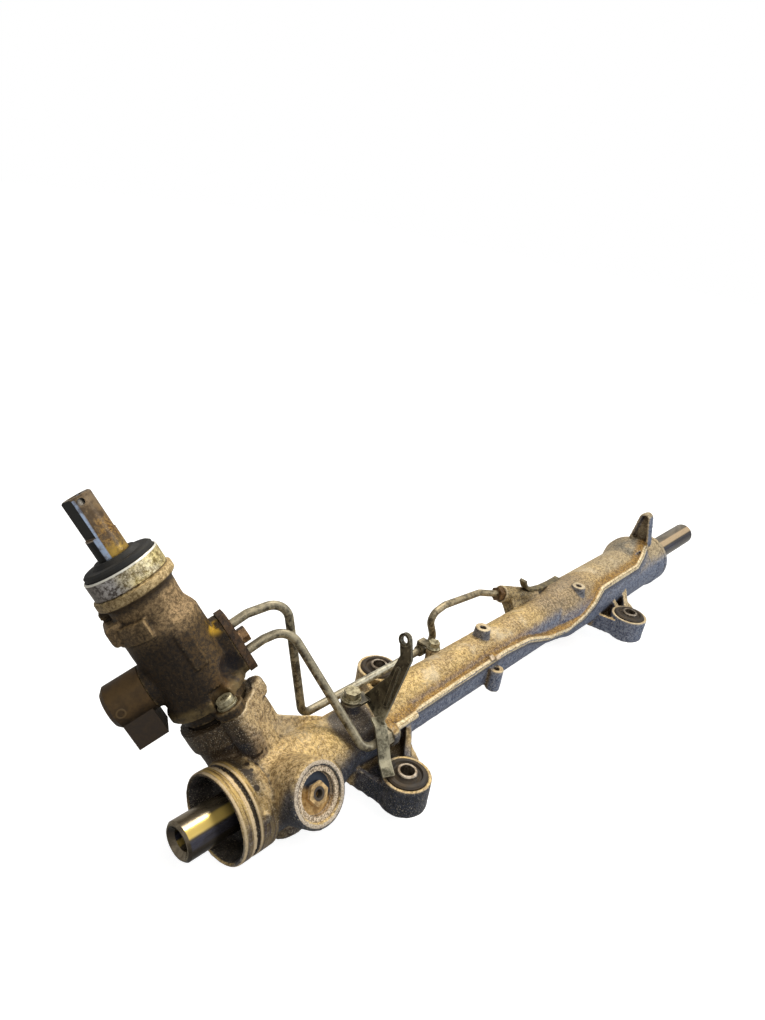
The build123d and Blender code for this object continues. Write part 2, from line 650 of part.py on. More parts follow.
def flare():
    """The shoulder that widens the upper far side of the tube in front of the fin."""
    cone = turned(BAR_PLANE, (0, FLARE_FROM), (BULGE_RADIUS - 1, FLARE_FROM), (FLARE_RADIUS - 2.5, FLARE_TO - 7),
                  (FLARE_RADIUS, FLARE_TO), (FLARE_RADIUS, FLARE_TO + 5), (BULGE_RADIUS, FLARE_TO + 12),
                  (0, FLARE_TO + 12))
    sector = make_face(Polyline((0, 0), (-13, 34), (-13, 45), (45, 45), (45, -8), close=True))
    return cone & (Plane(origin=(FLARE_FROM - 1, 0, 0), x_dir=(0, 1, 0), z_dir=X_AXIS) * extrude(sector, 60))


def fin():
    """The tall scooped ear near the far end, open on its near face."""
    plane = Plane(origin=(FIN_FROM, 0, 0), x_dir=(0, 1, 0), z_dir=X_AXIS)
    body = extrude(hull_of(FIN_SHAPE), FIN_TO - FIN_FROM)
    scoop = hull_of([(y, z, radius - FIN_WALL) for y, z, radius in FIN_SHAPE])
    scoop &= Pos(0, FIN_FLOOR + 40) * Rectangle(80, 80)
    return plane * (body - extrude(scoop, FIN_TO - FIN_FROM - FIN_WALL))


def post(x, y, top, radius, foot=0.0):
    body = rod(level(x, y, 0), radius, foot, top)
    body += level(x, y, foot) * Cone(radius + 3, radius, top - foot - 1, align=BOTTOM)
    return body


def collar():
    """The near bellows seat: a thin open rim, a seal groove and a second band."""
    start, end = COLLAR_START, COLLAR_START + COLLAR_LENGTH
    groove = start + COLLAR_GROOVE_AT
    return turned(
        BAR_PLANE, (0, start), (COLLAR_RADIUS - 1.2, start), (COLLAR_RADIUS, start + 1.2),
        (COLLAR_RADIUS, groove), (COLLAR_RADIUS - COLLAR_GROOVE_DEPTH, groove),
        (COLLAR_RADIUS - COLLAR_GROOVE_DEPTH, groove + COLLAR_GROOVE_WIDTH),
        (COLLAR_RADIUS, groove + COLLAR_GROOVE_WIDTH), (COLLAR_RADIUS, end - 2),
        (COLLAR_RADIUS - 2, end), (NECK_RADIUS, end + 3), (NECK_RADIUS, NECK_END),
        (TUBE_RADIUS, NECK_END + NECK_TAPER), (0, NECK_END + NECK_TAPER))


def far_collar():
    start = FAR_COLLAR_END - FAR_COLLAR_LENGTH
    groove = FAR_COLLAR_END - FAR_GROOVE_AT
    return turned(
        BAR_PLANE, (0, start - 6), (BULGE_RADIUS - 1, start - 6), (FAR_COLLAR_RADIUS, start),
        (FAR_COLLAR_RADIUS, groove - 2.4), (FAR_COLLAR_RADIUS - 2, groove - 2.4), (FAR_COLLAR_RADIUS - 2, groove),
        (FAR_COLLAR_RADIUS, groove), (FAR_COLLAR_RADIUS, FAR_COLLAR_END - 1.5),
        (FAR_COLLAR_RADIUS - 1.5, FAR_COLLAR_END), (0, FAR_COLLAR_END))


def tube():
    neck_end = COLLAR_START + COLLAR_LENGTH + 50
    lower = rod(BAR_PLANE, TUBE_RADIUS, neck_end, BULGE_START + 10)
    crown_plane = Plane(origin=(0, 0, TUBE_RISE), x_dir=(0, 1, 0), z_dir=X_AXIS)
    crown = rod(crown_plane, TUBE_CROWN_RADIUS, neck_end, BULGE_START + 10)
    bulge = turned(
        BAR_PLANE, (0, BULGE_START - BULGE_TAPER), (TUBE_RADIUS - 1, BULGE_START - BULGE_TAPER),
        (BULGE_RADIUS, BULGE_START), (BULGE_RADIUS, FAR_COLLAR_END - FAR_COLLAR_LENGTH),
        (0, FAR_COLLAR_END - FAR_COLLAR_LENGTH))
    return lower + crown + bulge


def tower():
    """The round pinion tower with its lower boss, two screw lugs and a high ear beside the valve body."""
    flange = TOWER_TOP - TOWER_FLANGE
    body = turned(PINION_PLANE, (0, 0), (TOWER_RADIUS, 0), (TOWER_RADIUS, flange - 4),
                  (TOWER_FLANGE_RADIUS, flange), (TOWER_FLANGE_RADIUS, TOWER_TOP), (0, TOWER_TOP))
    body += rod(PINION_PLANE, LOWER_BOSS_RADIUS, LOWER_END, 0)
    for angle in SCREW_ANGLES:
        lug_plane = upright_plane(angle, SCREW_RING_RADIUS, 0)
        body += rod(lug_plane, LUG_RADIUS, TOWER_TOP - LUG_DEPTH, VALVE_BASE)
        body += loft([upright_plane(angle, SCREW_RING_RADIUS - 12, LUG_FOOT) * Circle(LUG_RADIUS - 1),
                      upright_plane(angle, SCREW_RING_RADIUS, TOWER_TOP - LUG_DEPTH) * Circle(LUG_RADIUS)])
    return body + high_ear() + gusset()


def high_ear():
    """The ear beside the valve body: a rounded head on a slimmer pillar."""
    pillar = rod(upright_plane(EAR_TURN, HIGH_EAR_REACH - HIGH_EAR_STEP, 0), HIGH_EAR_RADIUS, 12, HIGH_EAR_HEAD + 1)
    head = rod(upright_plane(EAR_TURN, HIGH_EAR_REACH, 0), HIGH_EAR_RADIUS, HIGH_EAR_HEAD, HIGH_EAR_TOP)
    return pillar + fillet(head.edges().filter_by(GeomType.CIRCLE), 3)


def gusset():
    """The web that runs from the back of the tower down to the tube."""
    up = Vector(0, cos(radians(GUSSET_TURN)), sin(radians(GUSSET_TURN)))
    plane = Plane(origin=(0, 0, 0), x_dir=X_AXIS, z_dir=X_AXIS.cross(up))
    outline = make_face(Polyline(*GUSSET_SHAPE, close=True))
    return plane * extrude(outline, GUSSET_THICKNESS / 2, both=True)


def yoke_housing():
    body = rod(YOKE_PLANE, YOKE_HOUSING_RADIUS, 0, YOKE_HOUSING_END)
    return chamfer(body.faces().sort_by(Axis((0, 0, 0), YOKE_AXIS))[-1].edges(), 1.2)


def mounting_ear(centre, roots, webs, casting):
    """An ear up to the barrel that it is cast on, bored for its bush."""
    body = ear(centre, roots)
    for root in webs:
        body += ear_web(centre, root)
    return body - casting - rod(level(*centre, 0), BUSH_RADIUS, EAR_BOTTOM - 1, BUSH_TOP + 5)


def cast_posts(casting):
    """The three drilled posts. The two on top are seated in the barrel, the third stands on its near side."""
    bodies = []
    for x, y, top, radius in POST_CENTRES:
        bodies.append((post(x, y, top, radius) - casting) + post_seat(x, y, top, radius))
    x, y, top, radius = NEAR_POST
    bodies.append(rod(level(x, y, 0), radius, NEAR_POST_FOOT, top) - casting)
    drilled = []
    for body, (x, y, top, radius) in zip(bodies, POST_CENTRES + (NEAR_POST,)):
        drilled.append(body - rod(level(x, y, 0), POST_HOLE_RADIUS, top - POST_HOLE_DEPTH, top + 1))
    return Compound(children=[solid for body in drilled for solid in body.solids()])


def post_seat(x, y, top, radius):
    return rod(level(x, y, 0), radius, top - POST_HOLE_DEPTH - POST_SEAT, top)


def barrel():
    """The one-piece casting round the bar, before it is bored."""
    body = collar() + tube() + far_collar() + tower() + yoke_housing()
    body += rim() + flare() + fin()
    body += outer_port_boss()
    body += rod(Plane(origin=(0, INNER_PORT_Y, INNER_PORT_Z), x_dir=(0, 1, 0), z_dir=X_AXIS),
                INNER_PORT_RADIUS, INNER_PORT_FROM, INNER_PORT_TO)
    body += Pos(INNER_PORT_FROM + 4, 0, INNER_PORT_Z - 6) * Box(
        INNER_PORT_TO - INNER_PORT_FROM - 8, -INNER_PORT_Y, 11, align=(Align.MIN, Align.MAX, Align.MIN))
    body += rod(level(*BRACKET_BOSS[:2], 0), BRACKET_BOSS_RADIUS, 0, BRACKET_BOSS[2])
    body += rod(level(*CLIP_BOSS[:2], 0), CLIP_BOSS_RADIUS, 0, CLIP_BOSS[2])
    return body


def outer_port_plane():
    way = Vector(*OUTER_GALLERY_END) - Vector(*PORT_BOSS_FACE)
    return Plane(origin=PORT_BOSS_FACE, z_dir=way)


def outer_port_boss():
    """The boss of the far pipe, which slopes down into the tube on a web."""
    plane = outer_port_plane()
    body = rod(plane, PORT_BOSS_RADIUS, 0, PORT_BOSS_LENGTH)
    sections = []
    for along in (6, PORT_BOSS_LENGTH - 4):
        x, y, z = plane.origin + plane.z_dir * along
        web = hull_of(((y, z, PORT_BOSS_RADIUS - 1.5), (13, 11, 6)))
        sections.append(Plane(origin=(x, 0, 0), x_dir=(0, 1, 0), z_dir=X_AXIS) * web)
    return body + loft(sections, ruled=True)


def rack_housing(body):
    for x, y, top, radius in POST_CENTRES:
        body -= post_seat(x, y, top, radius)
    return body - housing_bores()


def housing_bores():
    end = COLLAR_START + COLLAR_BORE_DEPTH
    bores = [rod(BAR_PLANE, COLLAR_BORE_RADIUS, COLLAR_START - 1, end),
             turned(BAR_PLANE, (0, COLLAR_START - 1), (COLLAR_RADIUS - 1.4, COLLAR_START - 1),
                    (COLLAR_BORE_RADIUS, COLLAR_START + 2), (0, COLLAR_START + 2)),
             rod(BAR_PLANE, BAR_TUNNEL_RADIUS, end - 1, FAR_COLLAR_END + 1),
             rod(BAR_PLANE, CYLINDER_RADIUS, CYLINDER_START, FAR_BORE_START + 1),
             rod(BAR_PLANE, CYLINDER_RADIUS + SNAP_GROOVE, CYLINDER_END, CYLINDER_END + SNAP_WIDTH),
             rod(BAR_PLANE, FAR_BORE_RADIUS + SNAP_GROOVE, END_BUSH_TO, END_BUSH_TO + SNAP_WIDTH),
             rod(BAR_PLANE, FAR_BORE_RADIUS, FAR_BORE_START, FAR_COLLAR_END + 1)]
    bores += [rod(PINION_PLANE, PINION_CHAMBER_RADIUS, BEARING_TOP - 1, BUSH_FROM),
              rod(PINION_PLANE, BEARING_RADIUS, BEARING_BOTTOM, BEARING_TOP),
              rod(PINION_PLANE, CAP_RADIUS - 1.4, LOWER_END - 1, BEARING_BOTTOM),
              rod(PINION_PLANE, NECK_SHAFT_RADIUS + BUSH_WALL, BUSH_FROM - 1, SEAL_TO),
              rod(PINION_PLANE, NECK_SHAFT_RADIUS + 1.5, SEAL_TO - 1, TOWER_FLOOR),
              rod(PINION_PLANE, TOWER_BORE_RADIUS, TOWER_FLOOR, TOWER_TOP + 1),
              rod(PINION_PLANE, BODY_RADIUS + VALVE_CLEARANCE, TOWER_TOP, HIGH_EAR_TOP + 1)]
    bores += [rod(YOKE_PLANE, YOKE_RADIUS + RUNNING_GAP, 0, PLUG_END),
              rod(YOKE_PLANE, PLUG_RADIUS, PLUG_END - PLUG_LENGTH, YOKE_HOUSING_END + 1)]
    for angle in SCREW_ANGLES:
        bores.append(rod(upright_plane(angle, SCREW_RING_RADIUS, 0), SCREW_RADIUS, TOWER_TOP - 18, VALVE_BASE + 1))
    slot = upright_plane(EAR_TURN, HIGH_EAR_REACH + 4, 0)
    bores.append(slot * Pos(HIGH_EAR_RADIUS, -HIGH_EAR_RADIUS * 0.2, HIGH_EAR_TOP - 26) * Box(
        12, 2.6, 24, align=BOTTOM))
    port = outer_port_plane()
    socket_end = port.origin + port.z_dir * (PORT_SOCKET_DEPTH - 1)
    bores += [rod(port, PORT_SOCKET_RADIUS, -1, PORT_SOCKET_DEPTH), drilling(tuple(socket_end), OUTER_GALLERY_END)]
    inner = Plane(origin=(0, INNER_PORT_Y, INNER_PORT_Z), x_dir=(0, 1, 0), z_dir=X_AXIS)
    bores += [rod(inner, PORT_SOCKET_RADIUS, INNER_PORT_FROM - 1, INNER_PORT_FROM + PORT_SOCKET_DEPTH),
              drilling((INNER_PORT_FROM + PORT_SOCKET_DEPTH - 1, INNER_PORT_Y, INNER_PORT_Z), INNER_GALLERY[0]),
              drilling(*INNER_GALLERY[:2]), drilling(*INNER_GALLERY[1:])]
    for boss in (BRACKET_BOSS, CLIP_BOSS):
        bores.append(rod(level(*boss[:2], 0), BOLT_RADIUS, boss[2] - 6, boss[2] + 1))
    return bores


# ---------------------------------------------------------------- valve housing


def valve_housing():
    body = turned(
        PINION_PLANE, (0, SPIGOT_BOTTOM), (TOWER_BORE_RADIUS - RUNNING_GAP, SPIGOT_BOTTOM),
        (TOWER_BORE_RADIUS - RUNNING_GAP, VALVE_BASE), (BASE_RADIUS, VALVE_BASE), (BASE_RADIUS, BEAD_FROM - 1),
        (BEAD_RADIUS, BEAD_FROM), (BEAD_RADIUS, BEAD_TO - 1), (BODY_RADIUS, BEAD_TO + 1), (BODY_RADIUS, BODY_SHOULDER),
        (BODY_NECK_RADIUS, BODY_SHOULDER + 8), (BODY_NECK_RADIUS + 0.6, LIP_FROM - 3), (LIP_RADIUS, LIP_FROM),
        (LIP_RADIUS, LIP_TO), (CROWN_RADIUS, LIP_TO + 0.4), (CROWN_RADIUS, CROWN_TOP), (0, CROWN_TOP))
    for angle in SCREW_ANGLES:
        lug_plane = upright_plane(angle, SCREW_RING_RADIUS, 0)
        body += rod(lug_plane, LUG_RADIUS, VALVE_BASE, FLANGE_TOP)
        body += rod(upright_plane(angle, SCREW_RING_RADIUS - 5, 0), LUG_RADIUS, VALVE_BASE, FLANGE_TOP)
    body += port_boss() + ledge() + strip() + solenoid_seat()
    return body - valve_bores()


def port_boss():
    plane = radial_plane(PORT_ANGLE, 0, PORT_MID)
    outline = RectangleRounded(2 * PORT_BOSS_HALF_WIDTH, 2 * PORT_BOSS_HALF_HEIGHT, 8)
    return plane * extrude(outline, PORT_FACE)


def ledge():
    plane = upright_plane(LEDGE_ANGLE, 0, LEDGE_FROM)
    block = plane * Box(LEDGE_REACH, 2 * LEDGE_HALF_WIDTH, LEDGE_TO - LEDGE_FROM,
                        align=(Align.MIN, Align.CENTER, Align.MIN))
    block = fillet(block.edges().sort_by(Axis(plane.origin, plane.x_dir))[-4:], 3)
    start, end = SHELF_ANGLES
    corners = [(60 * cos(radians(a)), 60 * sin(radians(a))) for a in (start, (start + end) / 2, end)]
    sector = PINION_PLANE * extrude(make_face(Polyline((0, 0), *corners, close=True)), SHELF_TO + 5)
    return block + (rod(PINION_PLANE, SHELF_RADIUS, SHELF_FROM, SHELF_TO) & sector)


def strip():
    plane = radial_plane(STRIP_ANGLE, BODY_RADIUS - 2, (STRIP_FROM + STRIP_TO) / 2)
    return plane * extrude(RectangleRounded(STRIP_WIDTH, STRIP_TO - STRIP_FROM, 1.5), 2.9)


def solenoid_seat():
    return rod(radial_plane(SOLENOID_ANGLE, 0, SOLENOID_AT), SOLENOID_RADIUS, 0, BODY_RADIUS + 2)


def valve_bores():
    bores = [rod(PINION_PLANE, VALVE_BORE_RADIUS, SPIGOT_BOTTOM - 1, VALVE_BORE_TOP),
             rod(PINION_PLANE, SPOOL_RADIUS + 1.5, VALVE_BORE_TOP - 1, CROWN_TOP + 1),
             rod(PINION_PLANE, UPPER_SEAT_RADIUS, UPPER_BEARING_FROM, CROWN_TOP + 1),
             rod(PINION_PLANE, UPPER_SEAT_RADIUS + SNAP_GROOVE, UPPER_SEAL_TO, UPPER_SEAL_TO + SNAP_WIDTH),
             ring(PINION_PLANE, TOWER_BORE_RADIUS + 1, SPIGOT_GROOVE_RADIUS, SPIGOT_RING_AT - 1.2,
                  SPIGOT_RING_AT + 1.2),
             rod(radial_plane(SOLENOID_ANGLE, 0, SOLENOID_AT), SOLENOID_STEM_RADIUS, VALVE_BORE_RADIUS - 1,
                 BODY_RADIUS + 4)]
    for offset in (-PORT_SPACING / 2, PORT_SPACING / 2):
        plane = radial_plane(PORT_ANGLE, 0, PORT_MID + offset)
        bores.append(rod(plane, PIPE_RADIUS + 1, PORT_FACE - 6, PORT_FACE + 1))
        bores.append(rod(plane, PIPE_BORE_RADIUS, VALVE_BORE_RADIUS - 2, PORT_FACE))
    bores.append(rod(radial_plane(PORT_ANGLE, 0, PORT_MID), BOLT_RADIUS, PORT_FACE - 9, PORT_FACE + 1))
    for angle in SCREW_ANGLES:
        plane = upright_plane(angle, SCREW_RING_RADIUS, 0)
        bores.append(rod(plane, SCREW_RADIUS + 0.5, VALVE_BASE - 1, FLANGE_TOP + 1))
        bores.append(rod(plane, SCREW_WASHER_RADIUS + SCREW_RELIEF, FLANGE_TOP, FLANGE_TOP + 2 * SCREW_HEAD_HEIGHT))
    return bores


def solenoid():
    """The assist solenoid: a round coil can with a blind connector block under it."""
    plane = radial_plane(SOLENOID_ANGLE, 0, SOLENOID_AT)
    can = turned(plane, (0, BODY_RADIUS + 2), (SOLENOID_RADIUS, BODY_RADIUS + 2),
                 (SOLENOID_RADIUS, SOLENOID_END - 3), (SOLENOID_RADIUS - 3, SOLENOID_END), (0, SOLENOID_END))
    can += rod(plane, SOLENOID_STEM_RADIUS - FIT_GAP, VALVE_BORE_RADIUS + 0.5, BODY_RADIUS + 3)
    return can


def solenoid_connector():
    plane = radial_plane(SOLENOID_ANGLE, CONNECTOR_FROM, SOLENOID_AT)
    block = plane * Pos(0, 0, 0) * Box(CONNECTOR_WIDTH, CONNECTOR_DROP, CONNECTOR_TO - CONNECTOR_FROM,
                                       align=(Align.CENTER, Align.MAX, Align.MIN))
    cavity = plane * Pos(0, -CONNECTOR_DROP, (CONNECTOR_TO - CONNECTOR_FROM) / 2) * Box(
        CONNECTOR_WIDTH - 5, 16, CONNECTOR_TO - CONNECTOR_FROM - 5)
    return block - cavity - rod(radial_plane(SOLENOID_ANGLE, 0, SOLENOID_AT), SOLENOID_RADIUS + FIT_GAP, 0, 70)


# ---------------------------------------------------------------- bearings, seals and covers on the pinion axis


def race(outer, inner, groove_radius):
    body = ring(PINION_PLANE, outer, inner, BEARING_BOTTOM + RING_GAP, BEARING_TOP - RING_GAP)
    middle = PINION_PLANE * Pos(0, 0, (BEARING_BOTTOM + BEARING_TOP) / 2)
    return body - middle * Torus(groove_radius, BALL_RADIUS + 0.03)


def ball_track():
    return (TAIL_RADIUS + BEARING_RADIUS) / 2


def bearing_outer_race():
    return race(BEARING_RADIUS - RING_GAP, BEARING_RADIUS - RACE_WALL, ball_track())


def bearing_inner_race():
    return race(TAIL_RADIUS + RACE_WALL, TAIL_RADIUS + RING_GAP, ball_track())


def bearing_balls():
    middle = (BEARING_BOTTOM + BEARING_TOP) / 2
    return Compound(children=[
        PINION_PLANE * Pos(0, 0, middle) * Rot(0, 0, k * 360 / BALL_COUNT) * Pos(ball_track(), 0, 0)
        * Sphere(BALL_RADIUS) for k in range(BALL_COUNT)])


def pinion_nut():
    nut = PINION_PLANE * Pos(0, 0, TAIL_END + 0.3) * extrude(RegularPolygon(NUT_RADIUS, 6),
                                                            BEARING_BOTTOM - TAIL_END - 0.3)
    return nut - rod(PINION_PLANE, TAIL_RADIUS + FIT_GAP, TAIL_END - 1, BEARING_BOTTOM + 1)


def lower_cap():
    low = LOWER_END - CAP_THICKNESS + 2.5
    cap = turned(PINION_PLANE, (0, low), (CAP_RADIUS - 2, low), (CAP_RADIUS, low + 1), (CAP_RADIUS, LOWER_END),
                 (CAP_RADIUS - 1.4 - FIT_GAP, LOWER_END), (CAP_RADIUS - 1.4 - FIT_GAP, LOWER_END + 1.2),
                 (0, LOWER_END + 1.2))
    return cap


def shaft_ring(outer, inner, start, end):
    return ring(PINION_PLANE, outer - FIT_GAP, inner + RUNNING_GAP, start, end)


def shaft_seal(outer, inner, start, end):
    seal = shaft_ring(outer, inner, start, end)
    return seal - ring(PINION_PLANE, outer - 1.2, inner + 1.2, start + (end - start) * 0.5, end + 1)


def spigot_ring():
    return ring(PINION_PLANE, TOWER_BORE_RADIUS - FIT_GAP, SPIGOT_GROOVE_RADIUS + FIT_GAP, SPIGOT_RING_AT - 1.1,
                SPIGOT_RING_AT + 1.1)


def dust_disc():
    """The black rubber wiper that closes the top of the valve housing."""
    return turned(
        PINION_PLANE, (SHAFT_RADIUS + RUNNING_GAP, CROWN_TOP), (DISC_RADIUS, CROWN_TOP),
        (DISC_RADIUS, DISC_TOP - 2.2), (DISC_RADIUS - 1.5, DISC_TOP - 1), (SHAFT_RADIUS + 5.5, DISC_TOP - 1),
        (SHAFT_RADIUS + 3.2, DISC_TOP + 1.5), (SHAFT_RADIUS + RUNNING_GAP, DISC_TOP + 1.5))


def cover_ring():
    """The plated ring pressed over the crown of the valve housing."""
    return turned(
        PINION_PLANE, (CROWN_RADIUS + FIT_GAP, RING_FROM), (RING_RADIUS - 0.4, RING_FROM),
        (RING_RADIUS, RING_FROM + 0.6), (RING_RADIUS, RING_TO - 0.6), (RING_RADIUS - 0.5, RING_TO),
        (CROWN_RADIUS + FIT_GAP, RING_TO))


def snap_ring(plane, bore_radius, at):
    """An open retaining ring sprung into the groove of a bore."""
    body = ring(plane, bore_radius + SNAP_GROOVE - 0.1, bore_radius - 2.2, at + FIT_GAP, at + SNAP_WIDTH - FIT_GAP)
    return body - plane * Pos(0, 0, at - 1) * Box(bore_radius + 5, SNAP_OPENING, SNAP_WIDTH + 2,
                                                  align=(Align.MIN, Align.CENTER, Align.MIN))


def cap_screws():
    """Socket head screws through the lugs of the valve housing."""
    screws = []
    for angle in SCREW_ANGLES:
        plane = upright_plane(angle, SCREW_RING_RADIUS, 0)
        screw = rod(plane, SCREW_RADIUS - FIT_GAP, TOWER_TOP - 17, FLANGE_TOP)
        head = rod(plane, SCREW_HEAD_RADIUS, FLANGE_TOP, FLANGE_TOP + SCREW_HEAD_HEIGHT)
        head = chamfer(head.edges().filter_by(GeomType.CIRCLE).sort_by(Axis(PINION_FOOT, PINION_AXIS))[-1], 0.6)
        head += rod(plane, SCREW_WASHER_RADIUS, FLANGE_TOP, FLANGE_TOP + SCREW_WASHER)
        socket = plane * Pos(0, 0, FLANGE_TOP + SCREW_HEAD_HEIGHT - 4) * extrude(
            RegularPolygon(SCREW_HEAD_RADIUS * 0.53, 6), 5)
        screws.append(screw + head - socket)
    return Compound(children=screws)


# ---------------------------------------------------------------- yoke
def support_yoke():
    """The pad that presses the bar against the pinion."""
    back = YOKE_BACK
    body = rod(YOKE_PLANE, YOKE_RADIUS, 3.0, back)
    body -= rod(BAR_PLANE, BAR_DIAMETER / 2 + YOKE_LINER_THICKNESS + RUNNING_GAP, 0, BAR_LENGTH)
    groove = (back + BAR_DIAMETER / 2 + 4) / 2 + 2
    body -= ring(YOKE_PLANE, YOKE_RADIUS + 1, YOKE_RADIUS - YOKE_GROOVE_DEPTH, groove, groove + YOKE_GROOVE_WIDTH)
    return body - rod(YOKE_PLANE, SPRING_RADIUS + SPRING_WIRE / 2 + 0.6, back - SPRING_POCKET, back + 1)


def yoke_ring():
    groove = (YOKE_BACK + BAR_DIAMETER / 2 + 4) / 2 + 2
    return ring(YOKE_PLANE, YOKE_RADIUS + RUNNING_GAP - FIT_GAP, YOKE_RADIUS - YOKE_GROOVE_DEPTH + FIT_GAP,
                groove + 0.1, groove + YOKE_GROOVE_WIDTH - 0.1)


def yoke_liner():
    """The slippery strip between the yoke and the bar."""
    liner = rod(BAR_PLANE, BAR_DIAMETER / 2 + YOKE_LINER_THICKNESS + RUNNING_GAP / 2, YOKE_X - 11, YOKE_X + 11)
    liner -= rod(BAR_PLANE, BAR_DIAMETER / 2 + RUNNING_GAP / 2, 0, BAR_LENGTH)
    return liner & rod(YOKE_PLANE, YOKE_RADIUS - 1, 4.0, YOKE_BACK)


def yoke_plug():
    """The threaded adjuster: a rim, a recess and a drilled hexagon hub."""
    start, end = PLUG_END - PLUG_LENGTH, PLUG_END
    plug = rod(YOKE_PLANE, PLUG_RADIUS - FIT_GAP, start, end)
    plug -= rod(YOKE_PLANE, PLUG_RECESS_RADIUS, end - PLUG_RECESS_DEPTH, end + 1)
    plug += YOKE_PLANE * Pos(0, 0, end - PLUG_RECESS_DEPTH) * extrude(
        RegularPolygon(PLUG_HUB_RADIUS, 6), PLUG_RECESS_DEPTH + 0.6)
    return plug - rod(YOKE_PLANE, PLUG_HOLE_RADIUS, end - 5, end + 2)


def yoke_spring():
    bottom, top = YOKE_BACK - SPRING_POCKET, PLUG_END - PLUG_LENGTH
    height = top - bottom - SPRING_WIRE
    pitch = height / SPRING_TURNS
    path = Helix(pitch, height, SPRING_RADIUS)
    start = path @ 0
    section = Plane(origin=start, z_dir=path % 0) * Circle(SPRING_WIRE / 2 - 0.05)
    coil = sweep(section, path=path)
    return YOKE_PLANE * Pos(0, 0, bottom + SPRING_WIRE / 2) * coil


# ---------------------------------------------------------------- bar guides and stops


def end_bush():
    bush = ring(BAR_PLANE, FAR_BORE_RADIUS - FIT_GAP, BAR_DIAMETER / 2 + RUNNING_GAP, END_BUSH_FROM, END_BUSH_TO)
    return chamfer(bush.edges().filter_by(GeomType.CIRCLE).sort_by(Axis.X)[-2:], 0.8)


def cylinder_gland():
    return ring(BAR_PLANE, CYLINDER_RADIUS - FIT_GAP, BAR_DIAMETER / 2 + RUNNING_GAP, CYLINDER_END - GLAND_LENGTH,
                CYLINDER_END)


# ---------------------------------------------------------------- mounting bushes
def bush_rubber(centre):
    plane = level(*centre, 0)
    rubber = turned(
        plane, (SLEEVE_RADIUS + FIT_GAP, EAR_BOTTOM), (BUSH_RADIUS - FIT_GAP, EAR_BOTTOM),
        (BUSH_RADIUS - FIT_GAP, BUSH_TOP - 1), (BUSH_RADIUS - 1.2, BUSH_TOP), (BUSH_RADIUS - 3.4, BUSH_TOP),
        (BUSH_RADIUS - 4.4, BUSH_TOP - 1.6), (SLEEVE_RADIUS + 2, BUSH_TOP - 1.6), (SLEEVE_RADIUS + FIT_GAP, BUSH_TOP))
    return rubber


def bush_sleeve(centre):
    sleeve = ring(level(*centre, 0), SLEEVE_RADIUS, SLEEVE_BORE_RADIUS, SLEEVE_BOTTOM, SLEEVE_TOP)
    outer = [e for e in sleeve.edges().filter_by(GeomType.CIRCLE) if e.radius > SLEEVE_BORE_RADIUS + 0.5]
    return chamfer(outer, 0.6)


# ---------------------------------------------------------------- pipes
def on_port(offset, reach):
    outward = SIDE_AXIS * cos(radians(PORT_ANGLE)) + YOKE_AXIS * sin(radians(PORT_ANGLE))
    return PINION_FOOT + outward * reach + PINION_AXIS * (PORT_MID + offset)


def pipe(points, radii):
    path = FilletPolyline(*points, radius=list(radii))
    section = Plane(origin=path @ 0, z_dir=path % 0) * (Circle(PIPE_RADIUS) - Circle(PIPE_BORE_RADIUS))
    return sweep(section, path=path)


def pipe_1():
    start, stub = port_stub(PORT_SPACING / 2)
    port = outer_port_plane()
    lead = port.origin - port.z_dir * PIPE_1_LEAD
    end = port.origin + port.z_dir * (PORT_SOCKET_DEPTH - 1)
    return pipe((start, stub, *PIPE_1_POINTS, lead, end), PIPE_1_RADII)


def pipe_2():
    start, stub = port_stub(-PORT_SPACING / 2)
    turn = (PIPE_2_TURN_X, INNER_PORT_Y, INNER_PORT_Z)
    end = (INNER_PORT_FROM + PORT_SOCKET_DEPTH - 1, INNER_PORT_Y, INNER_PORT_Z)
    return pipe((start, stub, PIPE_2_TOP, turn, end), PIPE_2_RADII)


def port_stub(offset):
    """The two ends of the straight stub in the valve housing."""
    return (on_port(offset, PORT_FACE - PIPE_SOCKET),
            on_port(offset, PORT_FACE + PLATE_THICKNESS + PIPE_STUB))


def flare_nut(plane):
    """A union nut on the plane of a port's face, with its thread inside the port."""
    nut = plane * Pos(0, 0, -NUT_HEX_LENGTH) * extrude(RegularPolygon(NUT_HEX_RADIUS, 6), NUT_HEX_LENGTH)
    nut += rod(plane, PORT_SOCKET_RADIUS - FIT_GAP, 0, PORT_SOCKET_DEPTH - 1)
    return nut - rod(plane, PIPE_RADIUS + RUNNING_GAP, -NUT_HEX_LENGTH - 1, PORT_SOCKET_DEPTH)


def pipe_plate():
    """The plate that clamps both pipe ends to the valve housing."""
    plane = radial_plane(PORT_ANGLE, PORT_FACE, PORT_MID)
    outline = RectangleRounded(2 * PORT_BOSS_HALF_WIDTH + 1, 2 * PORT_BOSS_HALF_HEIGHT + 2, 8)
    plate = plane * extrude(outline, PLATE_THICKNESS)
    for offset in (-PORT_SPACING / 2, PORT_SPACING / 2):
        plate -= rod(radial_plane(PORT_ANGLE, 0, PORT_MID + offset), PIPE_RADIUS + RUNNING_GAP, PORT_FACE - 1,
                     PORT_FACE + PLATE_THICKNESS + 1)
    return plate - rod(radial_plane(PORT_ANGLE, 0, PORT_MID), BOLT_RADIUS + 0.3, PORT_FACE - 1,
                       PORT_FACE + PLATE_THICKNESS + 1)


def hex_bolt(plane, seat, length, hex_radius=5.8, head=4.5, flange=7.0, flange_height=1.4):
    """A flange bolt whose head sits on the plane at seat and whose shank points down."""
    bolt = rod(plane, BOLT_RADIUS - FIT_GAP, seat - length, seat)
    bolt += plane * Pos(0, 0, seat) * Cone(flange, flange - 0.9, flange_height, align=BOTTOM)
    bolt += plane * Pos(0, 0, seat + flange_height) * extrude(RegularPolygon(hex_radius, 6), head)
    return bolt


